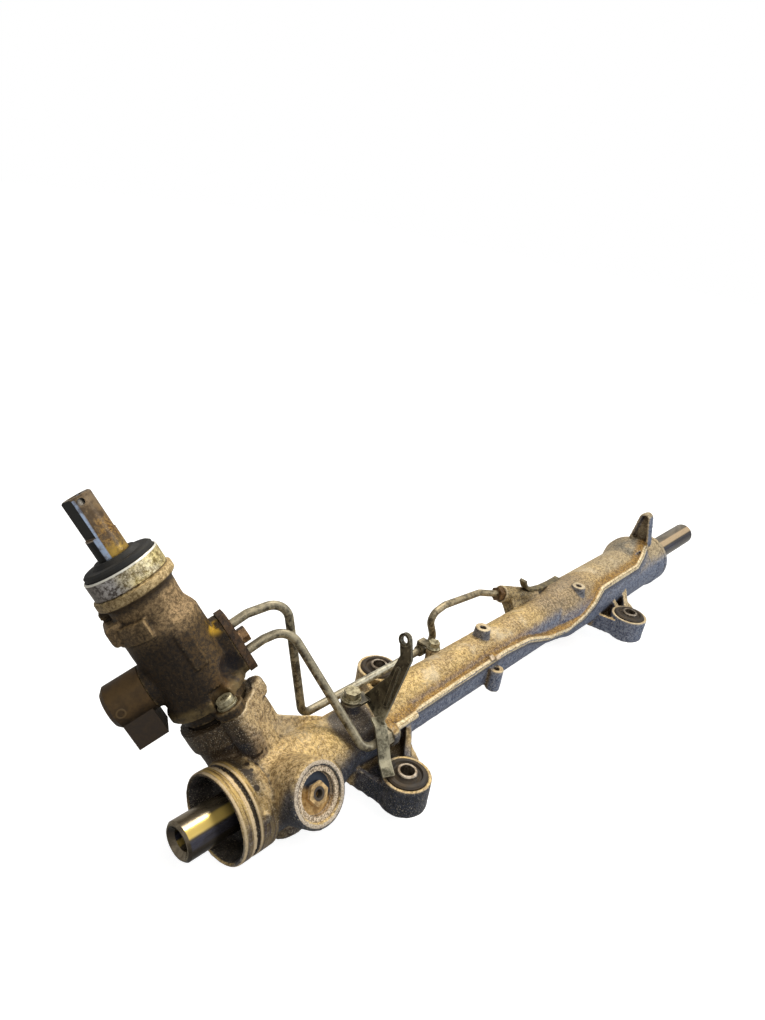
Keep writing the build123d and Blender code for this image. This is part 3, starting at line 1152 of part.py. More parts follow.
def plate_bolt():
    return hex_bolt(radial_plane(PORT_ANGLE, 0, PORT_MID), PORT_FACE + PLATE_THICKNESS, PLATE_THICKNESS + 8,
                    hex_radius=5.4, flange=5.8)


# ---------------------------------------------------------------- bracket and clip


def hull_of(circles):
    return make_hull(sum([list((Pos(x, y) * Circle(radius)).edges()) for x, y, radius in circles], []))


def arm_plane():
    lean = radians(BRACKET_LEAN)
    return Plane(origin=(BRACKET_X, 0, 0), x_dir=(0, 1, 0), z_dir=(cos(lean), 0, -sin(lean)))


def bracket():
    """The pressed upright bracket: a foot on the post, a tall eyed arm and a leg down to the near ear."""
    scale = 1 / cos(radians(BRACKET_LEAN))
    plane = arm_plane()
    body = None
    for group in ARM_SHAPE:
        face = hull_of([(y, z * scale, radius) for y, z, radius in group])
        plate = plane * extrude(face, SHEET)
        body = plate if body is None else body + plate
    rib = hull_of(((-21.5, 66, 1.6), (-19.5, 38, 1.6)))
    body += plane * Pos(0, 0, -1.2) * extrude(rib, 1.3)
    eye = plane * Pos(BRACKET_EYE[0], BRACKET_EYE[1] * scale, 0)
    body += eye * Pos(0, 0, -1.2) * Cylinder(BRACKET_EYE_RADIUS, 1.3, align=BOTTOM)
    body -= eye * Pos(0, 0, -3) * Cylinder(BRACKET_EYE_HOLE, 8, align=BOTTOM)
    turn = radians(LEG_TURN)
    strap = extrude(trace(FilletPolyline(*LEG_ROUTE, radius=3.0), SHEET), LEG_WIDTH / 2, both=True)
    body += Plane(origin=(*LEG_START, 0), x_dir=(-sin(turn), -cos(turn), 0), z_dir=(-cos(turn), sin(turn), 0)) * strap
    x, y, seat = BRACKET_BOSS
    body += Pos(x, y, seat) * Cylinder(BRACKET_BOSS_RADIUS + 0.5, SHEET, align=BOTTOM)
    reach = BRACKET_X + seat * tan(radians(BRACKET_LEAN)) + SHEET - x
    body += Pos(x, y, seat) * Box(reach, 9, SHEET, align=(Align.MIN, Align.MAX, Align.MIN))
    return body - rod(level(x, y, 0), BOLT_RADIUS + 0.3, seat - 1, seat + SHEET + 1)


def bracket_bolt():
    return hex_bolt(level(*BRACKET_BOSS[:2], 0), BRACKET_BOSS[2] + SHEET, SHEET + 5.5)


def pipe_clip():
    """A clip round the first pipe with a tab bolted to its boss."""
    x, y, seat = CLIP_BOSS
    plane = Plane(origin=(x - CLIP_RUN / 2, 0, 0), x_dir=(0, 1, 0), z_dir=X_AXIS)
    tab = Pos(x, y, seat) * Box(CLIP_RUN, PIPE_RUN_Y - y, 1.4, align=(Align.CENTER, Align.MIN, Align.MIN))
    tab += Pos(x, y, seat) * Cylinder(CLIP_BOSS_RADIUS, 1.4, align=BOTTOM)
    outer = Pos(PIPE_RUN_Y, PIPE_RUN_Z) * Circle(PIPE_RADIUS + 1.5)
    neck = Pos(PIPE_RUN_Y + 1.5, (PIPE_RUN_Z + seat) / 2 + 0.7) * Rectangle(3.0, seat - PIPE_RUN_Z + 1.4)
    body = plane * extrude(outer + neck, CLIP_RUN) + tab
    body -= rod(Plane(origin=(0, PIPE_RUN_Y, PIPE_RUN_Z), x_dir=(0, 1, 0), z_dir=X_AXIS),
                PIPE_RADIUS + RUNNING_GAP, x - CLIP_RUN, x + CLIP_RUN)
    return body - rod(level(x, y, 0), BOLT_RADIUS + 0.3, seat - 1, seat + 3)


def clip_bolt():
    return hex_bolt(level(*CLIP_BOSS[:2], 0), CLIP_BOSS[2] + 1.4, 6.5, hex_radius=4.6, head=3.6, flange=5.4)


def write_all():
    write("rack_bar", rack_bar())
    write("pinion", pinion())
    write("torsion_bar", torsion_bar())
    write("torsion_bar_pin", pin_hole(-FIT_GAP) & rod(PINION_PLANE, TORSION_BORE_RADIUS + PIN_GRIP, 0, SHAFT_TOP))
    write("input_shaft", input_shaft())
    write("valve_sleeve", valve_sleeve())
    write("sleeve_rings", sleeve_rings())
    write("piston", piston())
    write("piston_ring", piston_ring())
    write("inner_bar_seal", bar_seal(CYLINDER_START, CYLINDER_START + SEAL_LENGTH, CYLINDER_RADIUS))
    gland_start = CYLINDER_END - GLAND_LENGTH
    write("outer_bar_seal", bar_seal(gland_start - SEAL_LENGTH, gland_start, CYLINDER_RADIUS))
    write("cylinder_gland", cylinder_gland())
    write("end_bush", end_bush())
    write("end_bush_ring", snap_ring(BAR_PLANE, FAR_BORE_RADIUS, END_BUSH_TO))
    write("gland_ring", snap_ring(BAR_PLANE, CYLINDER_RADIUS, CYLINDER_END))
    casting = barrel()
    write("rack_housing", rack_housing(casting))
    write("near_ear", mounting_ear(EAR_NEAR, NEAR_ROOTS, NEAR_WEBS, casting))
    write("far_ear", mounting_ear(EAR_FAR, FAR_ROOTS, FAR_WEBS, casting))
    write("rear_ear", mounting_ear(EAR_REAR, REAR_ROOTS, REAR_WEBS, casting))
    write("cast_posts", cast_posts(casting))
    write("valve_housing", valve_housing())
    write("assist_solenoid", solenoid())
    write("solenoid_connector", solenoid_connector())
    write("lower_bearing_outer_race", bearing_outer_race())
    write("lower_bearing_inner_race", bearing_inner_race())
    write("lower_bearing_balls", bearing_balls())
    write("pinion_nut", pinion_nut())
    write("lower_cap", lower_cap())
    write("pinion_bush", shaft_ring(NECK_SHAFT_RADIUS + BUSH_WALL, NECK_SHAFT_RADIUS, BUSH_FROM, BUSH_TO))
    write("pinion_seal", shaft_seal(NECK_SHAFT_RADIUS + BUSH_WALL, NECK_SHAFT_RADIUS, SEAL_FROM, SEAL_TO))
    write("upper_bearing", shaft_ring(UPPER_SEAT_RADIUS, SHAFT_RADIUS, UPPER_BEARING_FROM, UPPER_BEARING_TO))
    write("upper_seal", shaft_seal(UPPER_SEAT_RADIUS, SHAFT_RADIUS, UPPER_SEAL_FROM, UPPER_SEAL_TO))
    write("upper_snap_ring", snap_ring(PINION_PLANE, UPPER_SEAT_RADIUS, UPPER_SEAL_TO))
    write("dust_disc", dust_disc())
    write("cover_ring", cover_ring())
    write("valve_housing_screws", cap_screws())
    write("spigot_ring", spigot_ring())
    write("support_yoke", support_yoke())
    write("yoke_liner", yoke_liner())
    write("yoke_ring", yoke_ring())
    write("yoke_spring", yoke_spring())
    write("yoke_plug", yoke_plug())
    for name, centre in (("rear", EAR_REAR), ("near", EAR_NEAR), ("far", EAR_FAR)):
        write(f"{name}_bush_rubber", bush_rubber(centre))
        write(f"{name}_bush_sleeve", bush_sleeve(centre))
    write("pipe_1", pipe_1())
    write("pipe_2", pipe_2())
    write("pipe_1_nut", flare_nut(outer_port_plane()))
    inner_port = Plane(origin=(INNER_PORT_FROM, INNER_PORT_Y, INNER_PORT_Z), x_dir=(0, 1, 0), z_dir=X_AXIS)
    write("pipe_2_nut", flare_nut(inner_port))
    write("pipe_plate", pipe_plate())
    write("plate_bolt", plate_bolt())
    write("bracket", bracket())
    write("bracket_bolt", bracket_bolt())
    write("pipe_clip", pipe_clip())
    write("clip_bolt", clip_bolt())


write_all()
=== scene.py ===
import math

import bmesh
import bpy
import numpy as np
from mathutils import Matrix, Vector, noise


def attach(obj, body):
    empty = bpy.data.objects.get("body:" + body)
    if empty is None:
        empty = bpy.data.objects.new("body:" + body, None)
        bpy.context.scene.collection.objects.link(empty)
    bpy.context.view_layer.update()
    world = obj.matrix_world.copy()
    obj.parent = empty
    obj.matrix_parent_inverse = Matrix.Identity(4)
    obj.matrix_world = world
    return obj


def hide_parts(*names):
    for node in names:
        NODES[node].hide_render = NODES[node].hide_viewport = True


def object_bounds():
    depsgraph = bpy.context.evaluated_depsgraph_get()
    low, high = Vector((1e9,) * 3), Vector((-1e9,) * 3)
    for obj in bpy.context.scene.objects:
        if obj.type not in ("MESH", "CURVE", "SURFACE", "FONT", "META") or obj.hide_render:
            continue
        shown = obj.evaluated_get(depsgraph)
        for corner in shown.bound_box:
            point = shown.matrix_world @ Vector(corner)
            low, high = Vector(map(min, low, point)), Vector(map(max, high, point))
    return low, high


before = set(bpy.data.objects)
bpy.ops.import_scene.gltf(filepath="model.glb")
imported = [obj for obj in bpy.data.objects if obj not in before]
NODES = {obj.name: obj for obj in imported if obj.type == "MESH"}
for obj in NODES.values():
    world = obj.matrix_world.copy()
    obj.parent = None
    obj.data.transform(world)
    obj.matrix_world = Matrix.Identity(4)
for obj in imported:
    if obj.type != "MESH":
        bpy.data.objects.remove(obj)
CAD_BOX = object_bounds()


def mm(*v):
    """A place or a size in metres, from millimetres."""
    return Vector(v) / 1000


# -------- the part's own axes, as in the CAD
X, Y, Z = Vector((1, 0, 0)), Vector((0, 1, 0)), Vector((0, 0, 1))
ORIGIN = Vector((0, 0, 0))  # on the bar's axis
TILT, LEAN = math.radians(30.5), math.radians(19.5)  # of the yoke, and of the pinion
YOKE = Vector((0, -math.cos(TILT), math.sin(TILT)))
UP = Vector((0, math.sin(TILT), math.cos(TILT)))
PIN = UP * math.cos(LEAN) - X * math.sin(LEAN)
SIDE = X * math.cos(LEAN) + UP * math.sin(LEAN)
YOKE_AT = X * 0.0696  # where the yoke's axis meets the bar's
FOOT = X * 0.0754 - YOKE * 0.0157  # where the pinion's axis passes the bar

# -------- places on the casting, in mm
COLLAR_BACK = 52.0  # along the bar
COLLAR_MOUTH = (24.8, 27.0)
GROOVE = (33.9, 36.7)
GROOVE_EDGES = ((31.4, 33.8), (36.9, 38.2))
BUSHES = ((218.6, 44.4), (145.8, -48.0), (493.2, -48.9))  # x and y in the rear, near and far ear
NEAR_BUSH = BUSHES[1]
TUBE_POSTS = ((294.0, 1.0), (443.0, -10.0))
NEAR_POST = (285.0, -24.4)
BRACKET_HOLLOW = mm(132, -6, 24)
OUTER_PORT = mm(376, 22, 27)
INNER_PORT = (-24.5, 13.0)  # y and z
RIM = ((152, -24.4, 15.0), (181, -24.0, 15.2), (191, -21.6, 13.7), (238, -21, 14.5), (304, -20.7, 15),
       (341, -22, 13), (374, -26, 4), (405, -28.5, 2), (437, -28, 6), (459, -26, 12), (480, -21.5, 20.5),
       (562, -21.3, 20.5), (583, -16.5, 25), (598, -11.5, 30))
RIM_SPREAD = 30.0  # how far from the rim its marks in the mesh reach
PITS = ((56.8, 1.8, 30.2, 1.2), (54.0, 3.3, 28.4, 1.1), (47.5, 1.0, 29.2, 1.3), (53.8, -0.4, 26.5, 1.2),
        (43.5, -3.9, 29.0, 1.8), (46.7, -4.2, 29.0, 1.1), (44.7, -6.5, 28.6, 1.0), (42.8, -14.6, 25.4, 1.6),
        (59.2, 1.7, 31.2, 1.1), (63.2, 2.7, 31.3, 0.9))  # place and size of each
SOLENOID_MARK = mm(0.6, 61.2, 50.5)

# -------- heights on the pinion's axis, in mm
VALVE_LIP = 150.5
RING_EDGE = 169.0
SHAFT_STEP = (189.6, 190.9)
SHAFT_TOP = 232.4
SCOOP_HEIGHT = 82.0


def on_pinion(angle, radius, height):
    """A point round the pinion's axis, in metres, from degrees and millimetres."""
    a = math.radians(angle)
    return FOOT + (SIDE * (radius * math.cos(a)) + YOKE * (radius * math.sin(a)) + PIN * height) / 1000


def round_pinion(angle):
    """A unit direction square to the pinion's axis, at an angle round it."""
    a = math.radians(angle)
    return SIDE * math.cos(a) + YOKE * math.sin(a)


SCOOP = on_pinion(64, 26.5, SCOOP_HEIGHT)


# -------- node materials
def put(tree, socket, value):
    """Links a socket, or sets it; None leaves it alone."""
    if isinstance(value, bpy.types.NodeSocket):
        tree.links.new(value, socket)
    elif value is not None:
        socket.default_value = value


def math_node(tree, operation, a, b):
    n = tree.nodes.new("ShaderNodeMath")
    n.operation = operation
    put(tree, n.inputs[0], a)
    put(tree, n.inputs[1], b)
    return n.outputs[0]


class Graph:
    """Builds a node material. Masks run from 0 to 1, and all places are those of the part at rest."""

    def __init__(self, name):
        self.mat = bpy.data.materials.new(name)
        self.mat.use_nodes = True
        self.tree = self.mat.node_tree
        self.tree.nodes.clear()
        self.out = self.tree.nodes.new("ShaderNodeOutputMaterial")
        self.bsdf = self.tree.nodes.new("ShaderNodeBsdfPrincipled")
        self.tree.links.new(self.bsdf.outputs[0], self.out.inputs[0])
        self.coord = self.tree.nodes.new("ShaderNodeTexCoord")
        self.geo = self.tree.nodes.new("ShaderNodeNewGeometry")
        self.p = self.coord.outputs["Object"]
        self.bump_normal = None

    def put(self, socket, value):
        put(self.tree, socket, value)

    def vector(self, operation, a, b=None, output="Value"):
        n = self.tree.nodes.new("ShaderNodeVectorMath")
        n.operation = operation
        self.put(n.inputs[0], a)
        self.put(n.inputs[1], b)
        return n.outputs[output]

    def math(self, operation, a, b):
        return math_node(self.tree, operation, a, b)

    def times(self, *values):
        out = values[0]
        for v in values[1:]:
            out = self.math("MULTIPLY", out, v)
        return out

    def most(self, *masks):
        """The largest of some masks."""
        out = masks[0]
        for mask in masks[1:]:
            out = self.math("MAXIMUM", out, mask)
        return out

    def but(self, mask):
        """1 where a mask is 0, and 0 where it is 1."""
        return self.math("SUBTRACT", 1.0, mask)

    def mix(self, fac, a, b):
        n = self.tree.nodes.new("ShaderNodeMix")
        n.data_type = "RGBA"
        self.put(n.inputs[0], fac)
        for socket, value in ((n.inputs[6], a), (n.inputs[7], b)):
            self.put(socket, value if isinstance(value, bpy.types.NodeSocket) else (*value, 1))
        return n.outputs[2]

    def ramp(self, value, low, high, to_low=0.0, to_high=1.0):
        """Carries a value softly from one range to another; low may be above high."""
        n = self.tree.nodes.new("ShaderNodeMapRange")
        n.clamp = True
        n.interpolation_type = "SMOOTHSTEP"
        self.put(n.inputs[0], value)
        for k, v in enumerate((low, high, to_low, to_high)):
            n.inputs[k + 1].default_value = v
        return n.outputs[0]

    def within(self, value, low, high, soft=0.5):
        """1 where a value lies between two limits."""
        above = self.ramp(value, low - soft, low + soft)
        return self.times(above, self.ramp(value, high + soft, high - soft))

    def noise(self, scale, detail, rough, distortion=0.0, vector=None):
        n = self.tree.nodes.new("ShaderNodeTexNoise")
        self.put(n.inputs["Vector"], vector or self.p)
        n.inputs["Scale"].default_value = scale
        n.inputs["Detail"].default_value = detail
        n.inputs["Roughness"].default_value = rough
        n.inputs["Distortion"].default_value = distortion
        return n.outputs[0]

    def stretch(self, x, y, z):
        n = self.tree.nodes.new("ShaderNodeMapping")
        self.put(n.inputs["Vector"], self.p)
        n.inputs["Scale"].default_value = (x, y, z)
        return n.outputs[0]

    def along(self, *scaled_axes):
        """Coordinates along three directions, each as long as its scale."""
        combine = self.tree.nodes.new("ShaderNodeCombineXYZ")
        for k, axis in enumerate(scaled_axes):
            self.put(combine.inputs[k], self.vector("DOT_PRODUCT", self.p, axis))
        return combine.outputs[0]

    def facing(self, axis):
        """How far the surface faces along a direction, from -1 to 1."""
        return self.vector("DOT_PRODUCT", self.coord.outputs["Normal"], axis)

    def height(self, axis, origin):
        """Distance along an axis from a point, in millimetres."""
        off = self.vector("SUBTRACT", self.p, origin, "Vector")
        return self.vector("DOT_PRODUCT", off, axis * 1000)

    def radial(self, axis, origin):
        """Distance from a line, in millimetres."""
        off = self.vector("SUBTRACT", self.p, origin, "Vector")
        return self.vector("LENGTH", self.vector("CROSS_PRODUCT", off, axis * 1000, "Vector"))

    def spot(self, centre, inner, outer):
        """1 within inner mm of a point, fading to 0 at outer mm."""
        return self.ramp(self.vector("DISTANCE", self.p, centre), inner / 1000, outer / 1000, 1.0, 0.0)

    def mark(self, name):
        """A value written into the mesh itself; 0 where the mesh has none."""
        n = self.tree.nodes.new("ShaderNodeAttribute")
        n.attribute_name = name
        return n.outputs["Fac"]

    def worn(self, radius_mm):
        """1 on the sharp edges of a mesh."""
        n = self.tree.nodes.new("ShaderNodeBevel")
        n.samples = 4
        n.inputs["Radius"].default_value = radius_mm / 1000
        return self.ramp(self.vector("DOT_PRODUCT", n.outputs[0], self.geo.outputs["Normal"]), 0.985, 0.90)

    def edge(self, low, high):
        """1 on the ridges of a finely meshed skin, or in its creases where low is above high."""
        return self.ramp(self.geo.outputs["Pointiness"], low, high)

    def hollow(self, distance_mm):
        """1 in narrow places."""
        n = self.tree.nodes.new("ShaderNodeAmbientOcclusion")
        n.samples = 6
        n.inputs["Distance"].default_value = distance_mm / 1000
        return self.but(n.outputs["AO"])

    def bump(self, height, distance_mm, strength):
        n = self.tree.nodes.new("ShaderNodeBump")
        n.inputs["Strength"].default_value = strength
        n.inputs["Distance"].default_value = distance_mm / 1000
        self.put(n.inputs["Height"], height)
        self.put(n.inputs["Normal"], self.bump_normal)
        self.bump_normal = n.outputs[0]

    def done(self, colour, roughness, metallic, specular=0.5):
        self.put(self.bsdf.inputs["Base Color"], colour)
        self.put(self.bsdf.inputs["Roughness"], roughness)
        self.bsdf.inputs["Metallic"].default_value = metallic
        self.bsdf.inputs["Specular IOR Level"].default_value = specular
        self.put(self.bsdf.inputs["Normal"], self.bump_normal)
        return self.mat


class SandCast(Graph):
    """A sand-cast skin: the noises and measures that its regions share."""

    def __init__(self, name, mottle_scale, speck_low, speck_high):
        super().__init__(name)
        self.mottle = self.noise(mottle_scale, 6, 0.68)
        self.sand = self.noise(430, 8, 0.82)
        self.pepper = self.noise(1300, 3, 0.7)
        self.speck = self.ramp(self.sand, speck_low, speck_high)
        self.rise = self.height(PIN, FOOT)

    def patchy(self, low, high, least=0.0, top=1.0):
        """A mask in patches, from least to top."""
        return self.ramp(self.mottle, low, high, least, top)

    def grain(self, low, high):
        """A colour that runs between two with the grains of sand."""
        return self.mix(self.speck, low, high)

    def paint(self, colour, regions):
        for region in regions:
            colour = region(colour)
        return colour


class AluminiumSkin(SandCast):
    """The aluminium casting, region by region. Lengths are in mm."""

    def __init__(self):
        super().__init__("cast_aluminium", 75, 0.43, 0.58)
        self.x, self.y, self.z = (self.height(axis, ORIGIN) for axis in (X, Y, Z))
        self.around = self.radial(X, ORIGIN)
        self.flat = self.facing(Z)
        self.over, self.under = self.mark("over_rim"), self.mark("under_rim")
        self.ear = self.times(self.ramp(self.y, -25, -33), self.ramp(self.x, 215, 190))
        self.dim = self.tower_shade()

    def tower_shade(self):
        """The side of the tower that faces away from the bar."""
        leftward = self.math("ADD", self.height(SIDE * -1, FOOT), self.times(self.rise, 0.35))
        turned = self.ramp(self.facing((SIDE * -0.89 + YOKE * 0.45).normalized()), 0.62, 0.96)
        shade = self.most(turned, self.ramp(leftward, 25, 35))
        return self.times(shade, self.ramp(self.rise, 12, 30), self.ramp(self.x, 76, 60))

    def tube(self):
        """Ochre and pale patches on what faces up."""
        up = self.ramp(self.facing((0.20, 0.25, 0.94)), -0.1, 0.85)
        colour = self.grain((0.190, 0.120, 0.048), (0.60, 0.440, 0.215))
        patches = self.times(up, self.ramp(self.noise(16, 4, 0.55), 0.36, 0.58), 0.9)
        ochre = self.times(patches, self.patchy(0.32, 0.62, 0.45))
        colour = self.mix(ochre, colour, self.grain((0.315, 0.195, 0.050), (0.80, 0.580, 0.235)))
        pale = self.times(up, self.ramp(self.noise(38, 5, 0.65), 0.50, 0.66), 0.5)
        return self.mix(pale, colour, (0.72, 0.62, 0.45))

    def far_half(self, colour):
        """The swollen part of the tube is greyer and darker, the far end is pale, with painted shade on its
        slope.
        """
        bulge = self.times(self.within(self.x, 376, 470, 22), 0.95)
        bulge = self.times(bulge, self.patchy(0.30, 0.60, 0.55))
        colour = self.mix(bulge, colour, self.grain((0.110, 0.078, 0.042), (0.36, 0.27, 0.165)))
        far = self.times(self.ramp(self.x, 470, 520), 0.7)
        colour = self.mix(far, colour, self.grain((0.17, 0.135, 0.085), (0.46, 0.385, 0.27)))
        # painted shade on the slope near the far end
        tilted = self.ramp(self.facing((-0.5, 0.1, 0.85)), 0.55, 0.9)
        slope = self.times(self.within(self.x, 566, 598, 5), tilted, self.patchy(0.3, 0.55), 0.8)
        return self.mix(slope, colour, self.grain((0.045, 0.045, 0.040), (0.20, 0.185, 0.155)))

    def rim_dirt(self, colour):
        """Dirt lies along the inner side of the rim."""
        close = self.ramp(self.over, RIM_SPREAD - 14.0, RIM_SPREAD - 7.0)
        channel = self.times(close, self.patchy(0.25, 0.55, 0.6), 0.92)
        return self.mix(channel, colour, self.grain((0.125, 0.058, 0.008), (0.42, 0.235, 0.042)))

    def painted_blue_shade(self, colour):
        """What faces the near side and down is painted in bluish shade with a painted blue reflection,
        nearly black at the tower.
        """
        blue = self.grain((0.045, 0.068, 0.135), (0.225, 0.270, 0.370))
        navy = self.grain((0.006, 0.009, 0.018), (0.050, 0.062, 0.095))
        painted_blue_shade = self.mix(self.ramp(self.x, 165, 115), blue, navy)
        turned = self.ramp(self.facing((0.05, -0.86, -0.50)), 0.18, 0.72)
        low = self.times(turned, self.ramp(self.y, 10, 0), 0.94)
        # the wall below the rim gets the same painted shade
        below_rim = self.ramp(self.under, RIM_SPREAD - 7, RIM_SPREAD - 4)
        steep = self.ramp(self.flat, 0.75, 0.35)
        outer = self.times(self.ramp(self.y, -20, -25), steep, self.ramp(self.x, 205, 235), 0.9)
        return self.mix(self.most(low, below_rim, outer), colour, painted_blue_shade)

    def near_arm(self, colour):
        """The arm of the near ear, up to its boss, painted in dark bluish shade."""
        off_boss = self.ramp(self.radial(Z, mm(*NEAR_BUSH, 0)), 16.6, 18.0)
        arm = self.times(self.ramp(self.y, -17, -23), self.ramp(self.z, 7, 2), self.ramp(self.x, 175, 160))
        arm = self.times(arm, off_boss, 0.93)
        return self.mix(arm, colour, self.grain((0.010, 0.013, 0.026), (0.085, 0.095, 0.130)))

    def rim_lip(self, colour):
        """A pale line on the rim's crest, over a shadow."""
        shadow = self.ramp(self.under, RIM_SPREAD - 8.0, RIM_SPREAD - 4.5)
        shadow = self.times(shadow, self.ramp(self.x, 150, 200), 0.55)
        colour = self.mix(shadow, colour, (0.030, 0.030, 0.036))
        crest = self.most(self.over, self.under)
        lip = self.times(self.ramp(crest, RIM_SPREAD - 3.3, RIM_SPREAD - 2.2), 0.9)
        return self.mix(lip, colour, self.grain((0.46, 0.36, 0.19), (1.0, 0.84, 0.56)))

    def posts(self, colour):
        """The posts on the tube have sides painted in grey-blue shade, and the outer port's boss is brown.
        """
        for post in TUBE_POSTS:
            close = self.ramp(self.radial(Z, mm(*post, 0)), 9.5, 7.0)
            # the sides of each post are painted in grey-blue shade
            beside = self.times(close, self.ramp(self.flat, 0.75, 0.35), 0.9)
            colour = self.mix(beside, colour, self.grain((0.060, 0.062, 0.075), (0.235, 0.235, 0.255)))
        port = self.times(self.spot(OUTER_PORT, 16, 34), self.ramp(self.y, 6, 13), 0.8)
        return self.mix(port, colour, self.grain((0.085, 0.060, 0.025), (0.42, 0.31, 0.14)))

    def tower(self, colour):
        """The tower is brown, and nearly black on its shaded side."""
        steep = self.ramp(self.facing((0.2, -0.3, 0.9)), 0.95, 0.2, 0.35, 0.9)
        tower = self.times(self.ramp(self.x, 122, 92), self.ramp(self.rise, 8, 30), steep)
        colour = self.mix(tower, colour, self.grain((0.120, 0.076, 0.034), (0.58, 0.420, 0.240)))
        black = self.grain((0.010, 0.006, 0.003), (0.055, 0.036, 0.018))
        return self.mix(self.times(self.dim, 0.96), colour, black)

    def near_shade(self, colour):
        """The hollow at the bracket's foot and the sides of the near ear are painted dark, as shade."""
        patchy = self.math("ADD", self.spot(BRACKET_HOLLOW, 6, 30), self.times(self.mottle, 0.5))
        colour = self.mix(self.times(self.ramp(patchy, 0.55, 0.95), 0.9), colour, (0.028, 0.028, 0.036))
        ear_side = self.times(self.ear, self.ramp(self.flat, 0.8, 0.3), 0.93)
        return self.mix(ear_side, colour, self.grain((0.012, 0.014, 0.020), (0.105, 0.105, 0.125)))

    def undersides(self, colour):
        """What turns down behind the collar, and the left of the near ear, are painted nearly black as
        shade.
        """
        down = self.ramp(self.facing((-0.1, -0.35, -0.93)), 0.15, 0.6)
        below = self.times(down, self.ramp(self.x, 40, 46), self.ramp(self.x, 130, 115))
        left = self.times(self.ear, self.ramp(self.facing((-0.75, -0.66, 0)), 0.45, 0.95))
        black = self.times(self.most(below, left), 0.93)
        return self.mix(black, colour, self.grain((0.004, 0.006, 0.011), (0.030, 0.038, 0.060)))

    def collar(self, colour):
        """Oily turned lines, bright edges and a groove painted black as shade."""
        lines = self.noise(420, 3, 0.6, 0.0, self.along(X * 2.2, YOKE * 0.10, UP * 0.10))
        oil = self.mix(self.ramp(lines, 0.40, 0.60), (0.150, 0.075, 0.014), (0.70, 0.480, 0.155))
        shell = self.times(self.ramp(self.around, 28.2, 28.8), self.ramp(self.around, 30.4, 29.8))
        band = self.times(self.ramp(self.x, COLLAR_BACK, COLLAR_BACK - 3), shell)
        up = self.facing(UP)
        clean = self.most(self.ramp(self.x, 42, 39), self.ramp(up, 0.35, 0.05))
        colour = self.mix(self.times(band, self.ramp(up, -0.1, 0.75, 0.35), clean, 0.8), colour, oil)
        edges = self.most(*(self.within(self.x, low, high, 0.4) for low, high in GROOVE_EDGES),
                          self.within(self.x, *COLLAR_MOUTH, 0.5))
        edges = self.times(edges, band, self.patchy(0.30, 0.55, 0.25, 0.85))
        colour = self.mix(edges, colour, (0.74, 0.58, 0.36))
        # the groove is painted black as shade
        depth = self.times(self.ramp(self.around, 29.1, 28.6), self.ramp(self.around, 26.2, 26.6))
        groove = self.times(self.within(self.x, *GROOVE, 0.3), depth, 0.97)
        return self.mix(groove, colour, (0.008, 0.006, 0.006))

    def ridge_highlight_and_shade(self, colour):
        """Dirt and painted shade in narrow places, painted highlights on ridges and painted shade in
        creases.
        """
        # dirt and painted shade in narrow places
        narrow = self.times(self.ramp(self.hollow(11), 0.22, 0.75), 0.92)
        colour = self.mix(narrow, colour, (0.052, 0.030, 0.011))
        # painted highlights on ridges, kept off the tower's shaded side
        ridge = self.times(self.edge(0.520, 0.58), self.patchy(0.35, 0.55, 0.25, 0.75))
        ridge = self.times(ridge, self.but(self.dim), self.ramp(self.ear, 0.0, 1.0, 1.0, 0.3))
        colour = self.mix(ridge, colour, (0.74, 0.62, 0.42))
        # painted shade in creases
        return self.mix(self.times(self.edge(0.488, 0.45), 0.85), colour, (0.045, 0.026, 0.010))

    def machined_faces(self, colour):
        """The face round the yoke's plug is pale and stippled, and the collar's bore is painted dark as
        shade.
        """
        raised = self.ramp(self.height(YOKE, ORIGIN), 43, 45)
        yoke_face = self.times(self.ramp(self.facing(YOKE), 0.93, 0.985), raised)
        yoke_face = self.times(yoke_face, self.ramp(self.x, 100, 96), 0.85)
        stipple = self.mix(self.ramp(self.pepper, 0.42, 0.56), (0.27, 0.20, 0.135), (0.86, 0.74, 0.58))
        colour = self.mix(yoke_face, colour, stipple)
        # the collar's bore is painted dark as shade
        depth = self.times(self.ramp(self.x, 25.2, 25.8), self.ramp(self.x, 60, 50))
        bore_shade = self.mix(self.patchy(0.4, 0.6), (0.012, 0.011, 0.012), (0.055, 0.052, 0.054))
        return self.mix(self.times(self.ramp(self.around, 26.9, 26.4), depth, 0.96), colour, bore_shade)

    def spots(self, colour):
        """Dark and light grains, and the pits beside the collar."""
        colour = self.mix(self.ramp(self.pepper, 0.58, 0.68, 0, 0.7), colour, (0.040, 0.026, 0.014))
        colour = self.mix(self.ramp(self.pepper, 0.42, 0.32, 0, 0.6), colour, (0.84, 0.75, 0.58))
        for *place, size in PITS:
            colour = self.mix(self.spot(mm(*place), size * 0.9, size * 1.5), colour, (0.022, 0.013, 0.006))
        return colour


def cast_aluminium():
    g = AluminiumSkin()
    regions = (g.far_half, g.rim_dirt, g.painted_blue_shade, g.near_arm, g.rim_lip, g.posts, g.tower, g.near_shade,
               g.undersides, g.collar, g.ridge_highlight_and_shade, g.machined_faces, g.spots)
    colour = g.paint(g.tube(), regions)
    g.bump(g.mottle, 0.4, 0.6)
    g.bump(g.sand, 0.36, 0.8)
    return g.done(colour, g.ramp(g.sand, 0.3, 0.7, 0.44, 0.72), 0.22, 0.4)


